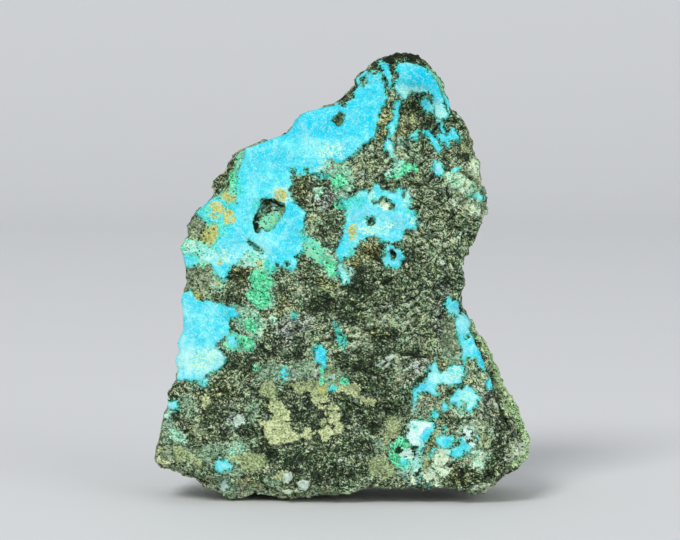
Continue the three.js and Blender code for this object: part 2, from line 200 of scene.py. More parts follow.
# Thin blue-green film
tealPatches = {
    "shoulder": [(240, 148), (247, 148), (240, 166), (238, 180), (240, 196), (232, 214), (226, 226),
                 (221, 240), (213, 250), (211, 262), (203, 268), (196, 262), (201, 254), (206, 246),
                 (208, 238), (206, 226), (205, 216), (198, 212), (203, 204), (214, 198), (220, 190),
                 (227, 186), (230, 176), (232, 168)],
    "leftEdge": [(180, 240), (190, 239), (203, 240), (208, 246), (203, 256), (196, 262), (180, 266)],
    "underPit": [(250, 252), (262, 252), (270, 262), (272, 270), (262, 272), (252, 266), (246, 258)],
    "speckled": [(300, 234), (306, 236), (312, 238), (319, 241), (323, 247), (328, 256), (337, 262),
                 (338, 272), (331, 276), (324, 266), (312, 262), (308, 258), (304, 250)],
    "peakRight": [(428, 66), (434, 70), (440, 78), (444, 88), (446, 98), (440, 90), (436, 80), (430, 72)],
    "greenSide": [(264, 262), (274, 264), (278, 270), (270, 274), (265, 272)],
    "leftDrops": [(225, 332), (236, 331), (242, 340), (240, 350), (230, 353), (224, 344)],
    "pit": [(263, 216), (268, 212), (276, 214), (281, 218), (279, 223), (276, 228), (272, 231), (266, 229),
            (262, 226), (260, 221)],
}
# Mottled pale green and white film
mintPatches = {
    "besideShoulder": [
        (322, 176), (330, 170), (336, 165), (344, 165), (351, 168), (353, 176), (352, 186), (351, 196),
        (344, 200), (338, 192), (332, 188), (330, 182),
    ],
    "underShoulder": [(234, 256), (245, 250), (256, 253), (266, 259), (269, 266), (262, 270), (250, 267),
                      (240, 266)],
    "besideBlock": [(206, 250), (214, 253), (218, 262), (223, 272), (225, 284), (222, 293), (215, 291),
                    (212, 278), (210, 266)],
    "tail": [(230, 304), (240, 306), (248, 312), (258, 314), (265, 322), (263, 332), (257, 339), (248, 335),
             (240, 328), (233, 318)],
    "tailLow": [(226, 338), (238, 333), (250, 338), (257, 346), (248, 352), (238, 350), (228, 353),
                (221, 349)],
    "middleTop": [(338, 195), (346, 191), (356, 194), (361, 198), (352, 205), (341, 207)],
    "aboveGreen": [(252, 268), (262, 263), (272, 267), (274, 276), (266, 281), (256, 277)],
    "belowMiddle": [(334, 262), (340, 262), (346, 270), (350, 280), (344, 282), (338, 276)],
    "ringSide": [(405, 462), (410, 457), (418, 456), (426, 458), (422, 466), (412, 472), (402, 474)],
    "besideStar": [(472, 446), (480, 450), (484, 458), (478, 466), (472, 458)],
    "cheek": [(444, 176), (452, 170), (462, 174), (474, 182), (486, 196), (480, 206), (466, 196), (452, 186)],
    "whiteLow": [(270, 316), (276, 314), (277, 322), (273, 326), (269, 322)],
    "footTop": [(226, 446), (234, 441), (244, 442), (246, 450), (236, 454), (226, 452)],
    "leftFoot": [(166, 430), (176, 428), (186, 436), (183, 442), (172, 440)],
    "besidePlain": [(314, 190), (318, 185), (324, 188), (322, 196), (316, 196)],
    "belowShoulderEdge": [
        (250, 274), (256, 268), (266, 267), (274, 273), (276, 282), (273, 292), (276, 302), (266, 310),
        (254, 308), (247, 301), (246, 292), (250, 284),
    ],
    "besideMiddleGreen": [
        (305, 248), (314, 240), (324, 248), (334, 256), (342, 262), (342, 274), (334, 280), (324, 272),
        (316, 262), (306, 258),
    ],
    "blockTop": [(234, 312), (244, 306), (256, 310), (262, 318), (256, 322), (244, 318)],
    "pit": [(264, 216), (270, 212), (278, 214), (277, 222), (270, 227), (264, 224)],
    "underStep": [(455, 405), (462, 403), (468, 410), (466, 418), (458, 417)],
}
# Vivid green tufts
greenPatches = {
    "branchFoot": [(393, 162), (401, 161), (405, 160), (411, 162), (417, 165), (419, 170), (412, 171),
                   (405, 173), (400, 176), (394, 178), (388, 178), (385, 175), (390, 171), (394, 168)],
    "middle": [
        (324, 258), (330, 262), (335, 264), (337, 270), (336, 275), (330, 275), (327, 268), (323, 263),
    ],
    "besideMiddle": [(331, 178), (336, 174), (343, 175), (347, 179), (345, 186), (338, 189), (333, 187)],
    "aboveMiddle": [(335, 203), (342, 200), (349, 203), (347, 209), (340, 210), (335, 208)],
    "belowShoulder": [
        (252, 271), (258, 268), (264, 270), (270, 274), (273, 280), (272, 287), (269, 292), (273, 297),
        (270, 303), (263, 309), (256, 306), (251, 302), (246, 296), (248, 290), (252, 286), (249, 279),
    ],
    "tail": [(243, 322), (249, 318), (255, 320), (258, 328), (256, 334), (249, 332), (245, 328)],
    "tailPatch": [(238, 338), (246, 336), (254, 342), (252, 349), (243, 350)],
    "ring": [(390, 453), (391, 446), (395, 442), (398, 438), (405, 437), (409, 441), (410, 446), (414, 452),
             (413, 460), (409, 466), (403, 469), (398, 467), (394, 463), (391, 458)],
    "shoulderEdge": [(229, 172), (236, 170), (238, 180), (232, 187), (227, 187)],
    "middleFleck": [(255, 367), (259, 366), (259, 371), (255, 372)],
    "creamFleck": [(318, 380), (323, 379), (325, 383), (320, 385)],
    "creamFleckRight": [(340, 380), (346, 379), (349, 383), (344, 386), (340, 384)],
    "aboveCream": [(319, 366), (324, 366), (325, 371), (320, 373)],
}
# Dark hollows inside the green rings
greenHoles = {
    "ring": [(395, 448), (398, 445), (402, 446), (403, 450), (400, 454), (396, 453)],
    "ringSide": [(406, 446), (411, 446), (415, 450), (413, 453), (409, 450)],
}
# Yellow ochre stains
ochrePatches = {
    "high": [(222, 195), (225, 188), (228, 189), (229, 195), (237, 196), (236, 201), (230, 203), (224, 200)],
    "second": [
        (209, 205), (213, 201), (218, 202), (222, 205), (225, 209), (220, 213), (213, 213), (210, 210),
    ],
    "third": [(204, 229), (209, 227), (212, 224), (217, 224), (219, 230), (217, 236), (213, 243), (208, 246),
              (205, 242), (202, 236)],
    "thirdSide": [(223, 211), (229, 208), (233, 212), (234, 222), (228, 223), (224, 218)],
    "dot": [(218, 259), (222, 258), (223, 263), (219, 264)],
    "underPit": [(254, 262), (258, 260), (262, 262), (262, 266), (257, 267)],
    "besideBlock": [(215, 281), (219, 279), (221, 284), (217, 287)],
    "edge": [(194, 292), (199, 292), (203, 297), (200, 301), (195, 299)],
    "middle": [(347, 227), (351, 224), (356, 226), (358, 232), (355, 239), (350, 240), (346, 235)],
    "shoulderPale": [(274, 192), (280, 189), (286, 191), (288, 196), (283, 201), (276, 199)],
    "ringSide": [(423, 466), (425, 459), (427, 459), (427, 468), (424, 471)],
    "secondSide": [(211, 214), (216, 213), (218, 218), (213, 219)],
    "aboveCream": [(318, 386), (324, 384), (327, 390), (322, 394), (318, 391)],
}
# Brownish yellow stain
tanPatches = {
    "aboveCream": [(259, 391), (261, 384), (268, 382), (275, 383), (276, 389), (275, 395), (279, 399),
                   (277, 403), (271, 402), (266, 396), (263, 392)],
    "overCream": [(288, 383), (300, 381), (312, 379), (325, 376), (336, 377), (345, 384), (338, 389),
                  (329, 389), (327, 396), (322, 401), (316, 401), (313, 394), (303, 391), (292, 388)],
    "lowLeft": [(172, 444), (180, 446), (188, 450), (191, 457), (186, 461), (176, 461), (173, 453)],
    "besideRing": [(385, 424), (388, 418), (394, 416), (399, 420), (402, 428), (399, 436), (392, 441),
                   (387, 446), (383, 444), (385, 434)],
    "creamLump": [(319, 424), (322, 419), (327, 420), (327, 425), (322, 429)],
    "crystalSide": [(480, 432), (485, 431), (490, 436), (489, 442), (484, 440)],
    "lowSpeck": [(464, 476), (469, 474), (472, 478), (468, 481)],
    "lowStripe": [(425, 452), (427, 444), (433, 436), (437, 428), (439, 431), (435, 440), (430, 448),
                  (428, 455)],
    "pitSide": [(278, 208), (284, 207), (283, 214), (277, 218)],
    "shoulderFoot": [(331, 161), (336, 157), (342, 159), (345, 164), (340, 168), (333, 168)],
    "cheekTop": [(461, 144), (466, 142), (471, 148), (468, 152), (462, 151)],
    "foot": [(226, 456), (236, 453), (246, 452), (252, 452), (260, 454), (266, 457), (265, 466), (260, 470),
             (250, 472), (244, 470), (240, 465), (232, 462), (226, 461)],
    "underRing": [
        (371, 458), (378, 456), (383, 452), (388, 456), (391, 462), (396, 468), (399, 473), (396, 477),
        (390, 479), (383, 480), (377, 477), (370, 475), (369, 468), (369, 462),
    ],
    "footSide": [(188, 456), (198, 456), (204, 462), (200, 467), (191, 464)],
    "cheek": [(441, 173), (449, 170), (456, 176), (452, 181), (444, 182)],
    "green": [(229, 170), (233, 172), (232, 182), (228, 186), (227, 178)],
    "underDrop": [(318, 368), (328, 364), (338, 368), (346, 374), (340, 380), (328, 378), (319, 375)],
    "topPit": [(335, 116), (342, 113), (345, 118), (342, 124), (337, 124)],
    "peakFlecks": [(360, 79), (367, 77), (365, 87), (361, 87)],
}
# Cream-coloured patch and flecks
creamPatches = {
    "left": [
        (268, 397), (271, 399), (276, 398), (281, 400), (284, 406), (287, 410), (290, 415), (291, 420),
        (289, 423), (290, 427), (295, 431), (299, 434), (304, 434), (310, 433), (314, 431), (316, 434),
        (312, 437), (309, 440), (304, 440), (300, 437), (298, 440), (293, 441), (288, 442), (284, 444),
        (278, 445), (271, 445), (267, 441), (264, 439), (263, 434), (264, 427), (258, 424), (258, 420),
        (262, 418), (266, 421), (271, 420), (273, 415), (270, 411), (269, 404),
    ],
    "top": [
        (288, 384), (296, 382), (303, 381), (312, 381), (322, 382), (330, 380), (336, 376), (341, 377),
        (346, 384), (352, 381), (358, 383), (362, 388), (364, 391), (362, 394), (367, 396), (373, 398),
        (377, 402), (375, 405), (368, 404), (361, 401), (356, 397), (349, 394), (341, 392), (333, 391),
        (329, 393), (328, 398), (326, 403), (319, 404), (313, 403), (311, 401), (313, 396), (310, 393),
        (304, 392), (298, 393), (295, 392), (294, 388),
    ],
    "right": [
        (320, 403), (326, 405), (332, 403), (337, 404), (339, 408), (340, 414), (340, 420), (343, 425),
        (343, 430), (340, 434), (335, 434), (331, 434), (330, 438), (327, 443), (324, 442), (321, 436),
        (319, 431), (322, 428), (327, 424), (327, 418), (324, 412), (321, 407),
    ],
    "under": [(303, 432), (304, 427), (308, 425), (311, 428), (310, 433), (306, 435)],
    "chip": [(270, 477), (275, 475), (281, 471), (288, 472), (291, 478), (286, 482), (283, 486), (277, 481)],
    "chipRight": [(297, 482), (308, 481), (309, 485), (307, 490), (300, 489), (298, 486)],
    "leftCorner": [(156, 449), (160, 447), (160, 456), (164, 462), (170, 464), (168, 467), (156, 463)],
    "leftHigh": [(202, 396), (206, 393), (210, 398), (209, 407), (205, 409), (202, 404)],
    "cheek": [(447, 172), (453, 168), (461, 172), (468, 176), (475, 181), (471, 186), (462, 184), (453, 180)],
}
# Bare rock inside the cream patch
creamHoles = {
    "upper": [(326, 408), (331, 407), (332, 411), (327, 411)],
    "middle": [(326, 413), (330, 413), (330, 417), (327, 417)],
    "lower": [(330, 424), (334, 423), (335, 429), (331, 430)],
}
# Places where pale, white and blue-green grains are scattered on the bare rock
speckledPatches = {
    "pit": [(262, 208), (272, 206), (279, 211), (279, 222), (271, 230), (262, 226)],
    "low": [(398, 462), (410, 458), (424, 464), (438, 470), (440, 484), (424, 486), (408, 482), (398, 474)],
    "lowStreaks": [(458, 426), (474, 424), (480, 442), (470, 448), (462, 440)],
    "middle": [(378, 195), (396, 198), (396, 212), (382, 212)],
    "besideBranch": [(398, 136), (404, 136), (405, 144), (398, 145)],
    "lowRight": [(472, 448), (482, 446), (488, 456), (484, 468), (474, 466)],
    "underLedge": [(318, 372), (330, 372), (346, 376), (350, 382), (334, 384), (322, 380)],
}
# Pale green film on the layer that shows along the right edge
rimBand = [
    (468, 316), (476, 316), (486, 334), (500, 356), (514, 384), (528, 408), (538, 436), (538, 454),
    (526, 463), (514, 468), (509, 465), (518, 458), (521, 448), (522, 436), (519, 428), (514, 417),
    (506, 405), (500.5, 392), (495.5, 380), (491, 368), (488, 358), (484, 348), (479, 338), (473, 325),
]

# Dull green-grey and tan dust
dustPatches = {
    "block": [(186, 266), (194, 262), (203, 260), (210, 263), (212, 272), (211, 282), (212, 290), (205, 294),
              (196, 291), (184, 291), (184, 283), (185, 274)],
    "diamond": [(184, 222), (194, 216), (200, 219), (204, 227), (198, 236), (188, 234), (185, 228)],
    "lump": [(190, 430), (196, 424), (204, 426), (209, 432), (202, 435), (192, 435)],
    "roundLump": [(158, 450), (164, 444), (171, 446), (174, 454), (170, 461), (162, 460)],
    "cheek": [(466, 182), (474, 178), (480, 181), (485, 188), (487, 193), (478, 193), (470, 191)],
    "cheekLow": [(468, 202), (476, 201), (487, 204), (487, 210), (476, 210), (468, 208)],
    "cheekSmall": [(458, 196), (464, 194), (468, 201), (464, 206), (459, 204)],
    "cheekHigh": [(461, 170), (468, 169), (471, 175), (466, 179), (461, 177)],
    "neckSide": [(446, 318), (453, 322), (457, 334), (459, 348), (452, 356), (444, 350), (443, 334)],
}
# Grey-green film
greyPatches = {
    "foot": [(196, 452), (204, 445), (214, 441), (222, 444), (232, 440), (240, 438), (248, 440), (249, 448),
             (250, 453), (238, 455), (228, 458), (222, 464), (212, 468), (202, 466), (197, 460)],
    "aboveCream": [(256, 366), (270, 362), (282, 364), (290, 366), (292, 376), (284, 384), (268, 383),
                   (257, 380)],
    "violet": [(292, 362), (308, 360), (314, 366), (314, 376), (302, 381), (290, 382), (291, 372)],
    "leftEdge": [(162, 424), (170, 422), (182, 432), (188, 440), (176, 444), (164, 444)],
    "leftTop": [(180, 398), (190, 396), (196, 404), (192, 414), (184, 414), (178, 408)],
    "besideRing": [(372, 440), (380, 436), (384, 444), (384, 452), (376, 454)],
    "greyBlue": [(233, 420), (237, 415), (244, 417), (247, 422), (242, 427), (234, 426)],
    "rightOfBlue": [(247, 402), (254, 400), (259, 408), (257, 422), (250, 424), (246, 414)],
    "besideNeck": [(444, 350), (454, 352), (462, 358), (456, 366), (444, 362)],
    "bottom": [(212, 478), (226, 478), (238, 486), (232, 496), (220, 492)],
    "bottomPale": [(262, 476), (276, 472), (288, 478), (284, 488), (268, 488)],
    "footLow": [
        (232, 463), (240, 465), (245, 470), (243, 476), (232, 478), (222, 476), (214, 474), (226, 472),
    ],
    "leftBand": [
        (160, 424), (168, 424), (176, 430), (184, 440), (190, 447), (196, 455), (190, 455), (182, 446),
        (172, 440), (163, 436),
    ],
    "lowRight": [(470, 446), (480, 444), (488, 452), (488, 466), (480, 472), (470, 466)],
}
# Pale, sugary grains
frostPatches = {
    "whiteBlue": [
        (409, 423), (414, 421), (421, 420), (428, 421), (431, 423), (426, 427), (422, 431), (420, 438),
        (418, 444), (412, 445), (407, 438), (409, 430),
    ],
    "ringInside": [(401, 452), (404, 449), (410, 449), (414, 453), (413, 458), (407, 459), (401, 458)],
    "footLeft": [(217, 484), (226, 481), (230, 487), (223, 491)],
    "crystals": [(463, 430), (467, 428), (471, 429), (473, 434), (471, 440), (474, 446), (470, 445),
                 (465, 437)],
    "greyBlue": [(234, 418), (240, 415), (245, 420), (241, 425), (236, 425)],
}
# Pale, milky film
milkPatches = {
    "middleGap": [(379, 201), (384, 199), (388, 204), (385, 210), (380, 207)],
    "low": [(434, 451), (439, 448), (446, 451), (449, 458), (447, 466), (450, 473), (444, 477), (437, 474),
            (432, 467), (434, 458)],
    "bottomA": [(410, 475), (413, 473), (416, 477), (415, 484), (411, 484)],
    "bottomB": [(423, 472), (428, 467), (433, 472), (434, 480), (428, 481), (424, 479)],
    "bottomC": [(434, 479), (437, 477), (441, 484), (436, 486), (433, 484)],
    "lowRight": [(473, 462), (478, 459), (483, 463), (480, 469), (475, 468)],
    "cheekEdge": [(469, 161), (475, 162), (479, 170), (477, 178), (471, 178), (470, 170)],
    "cheekSmall": [(461, 189), (466, 187), (469, 192), (463, 195)],
    "cheekLow": [(451, 200), (455, 199), (460, 206), (457, 208), (452, 205)],
    "cheekFoot": [(471, 208), (479, 208), (486, 213), (484, 217), (478, 212), (471, 211)],
    "starSide": [(476, 453), (481, 451), (484, 456), (480, 459), (476, 458)],
    "rimFoot": [(518, 446), (523, 440), (528, 444), (526, 452), (519, 456), (515, 452)],
}
# Pale greenish bloom on the crust
bloomPatches = {
    "shoulderPale": [(271, 192), (277, 187), (285, 187), (290, 191), (291, 199), (287, 205), (280, 203),
                     (273, 199)],
    "shoulderFoot": [(316, 166), (322, 159), (330, 157), (334, 161), (330, 170), (322, 173), (316, 171)],
    "left": [(184, 244), (198, 241), (208, 246), (214, 248), (222, 249), (231, 252), (233, 258), (226, 264),
             (218, 262), (206, 262), (196, 258), (186, 252)],
    "middle": [(358, 226), (364, 222), (372, 226), (380, 226), (390, 222), (396, 224), (392, 230), (384, 233),
               (374, 234), (366, 236), (360, 233)],
    "middleRight": [(404, 188), (410, 192), (412, 198), (409, 204), (414, 210), (416, 222), (411, 226),
                    (406, 214), (404, 202)],
    "middleTop": [(366, 192), (372, 190), (377, 196), (376, 204), (370, 202)],
    "tail": [(339, 264), (344, 265), (350, 268), (353, 271), (350, 276), (349, 280), (345, 281), (341, 276)],
    "underPit": [(240, 256), (248, 251), (256, 252), (264, 254), (266, 262), (262, 267), (252, 268),
                 (242, 266)],
    "lowEnd": [(418, 443), (425, 442), (424, 449), (421, 455), (417, 452)],
    "leftEdge": [(163, 409), (168, 407), (172, 411), (168, 417), (171, 423), (168, 424), (164, 415)],
    "besideLow": [(412, 456), (420, 455), (426, 460), (422, 468), (414, 472), (404, 474), (406, 467)],
    "branchFoot": [(393, 158), (398, 162), (402, 161), (401, 168), (396, 171), (388, 176), (386, 173),
                   (392, 167)],
    "lowBlock": [
        (196, 350), (206, 348), (214, 350), (220, 358), (214, 366), (202, 372), (192, 368), (188, 358),
    ],
    "arch": [(400, 90), (406, 86), (418, 88), (424, 90), (412, 92), (406, 99), (400, 97)],
    "archFoot": [(436, 104), (441, 104), (447, 114), (446, 119), (438, 117)],
    "shoulderLow": [(316, 148), (330, 142), (344, 146), (342, 156), (328, 158), (316, 158)],
    "lowerStep": [(460, 392), (468, 390), (474, 398), (470, 406), (462, 402)],
    "vein": [(386, 141), (390, 142), (393, 149), (397, 158), (395, 161), (390, 152)],
    "starFoot": [(477, 461), (482, 461), (483, 465), (479, 466)],
    "besideCream": [(446, 450), (450, 451), (453, 458), (450, 462), (448, 456)],
    "lowerRight": [(444, 372), (452, 367), (460, 367), (464, 372), (460, 378), (450, 380)],
    "lowerTail": [(411, 400), (416, 400), (417, 408), (413, 411), (410, 409)],
}
# Blue-green stains on the crust
seaPatches = {
    "shoulder": [(237, 188), (242, 186), (246, 190), (244, 195), (238, 194)],
    "pit": [(252, 203), (257, 200), (262, 201), (260, 206), (254, 208)],
    "left": [(222, 229), (226, 226), (228, 232), (225, 237), (221, 235)],
    "leftLow": [(214, 248), (218, 247), (218, 252), (215, 252)],
    "tab": [(187, 256), (192, 254), (198, 255), (197, 260), (190, 261)],
    "shoulderFoot": [(316, 175), (324, 171), (332, 174), (328, 179), (320, 180)],
    "besidePlain": [(297, 236), (303, 233), (311, 237), (312, 243), (304, 242)],
    "middle": [(337, 203), (342, 198), (352, 198), (356, 204), (350, 210), (340, 210)],
    "middleTop": [(352, 198), (360, 195), (366, 200), (362, 206), (354, 205)],
    "middleFoot": [(348, 244), (354, 244), (354, 254), (348, 256), (346, 250)],
    "middleSide": [(404, 207), (412, 206), (416, 212), (411, 217), (406, 214)],
    "creamRing": [(402, 461), (406, 459), (408, 465), (403, 468)],
    "whiteBlue": [(412, 424), (417, 424), (418, 428), (414, 429)],
    "footFleck": [(221, 458), (226, 458), (226, 463), (222, 463)],
    "diagonal": [(333, 321), (337, 322), (339, 328), (342, 332), (345, 336), (346, 344), (344, 351),
                 (340, 346), (336, 343), (337, 334), (334, 329)],
    "speckled": [(290, 313), (295, 310), (300, 312), (298, 319), (292, 321)],
    "teal": [(441, 429), (445, 427), (447, 430), (444, 433)],
    "leftSide": [
        (199, 208), (208, 203), (220, 204), (232, 205), (236, 214), (233, 226), (224, 234), (214, 224),
        (204, 221),
    ],
    "shoulderLeft": [(236, 176), (241, 176), (242, 186), (238, 196), (235, 188)],
    "underPit": [(262, 262), (270, 258), (276, 266), (272, 274), (264, 270)],
}
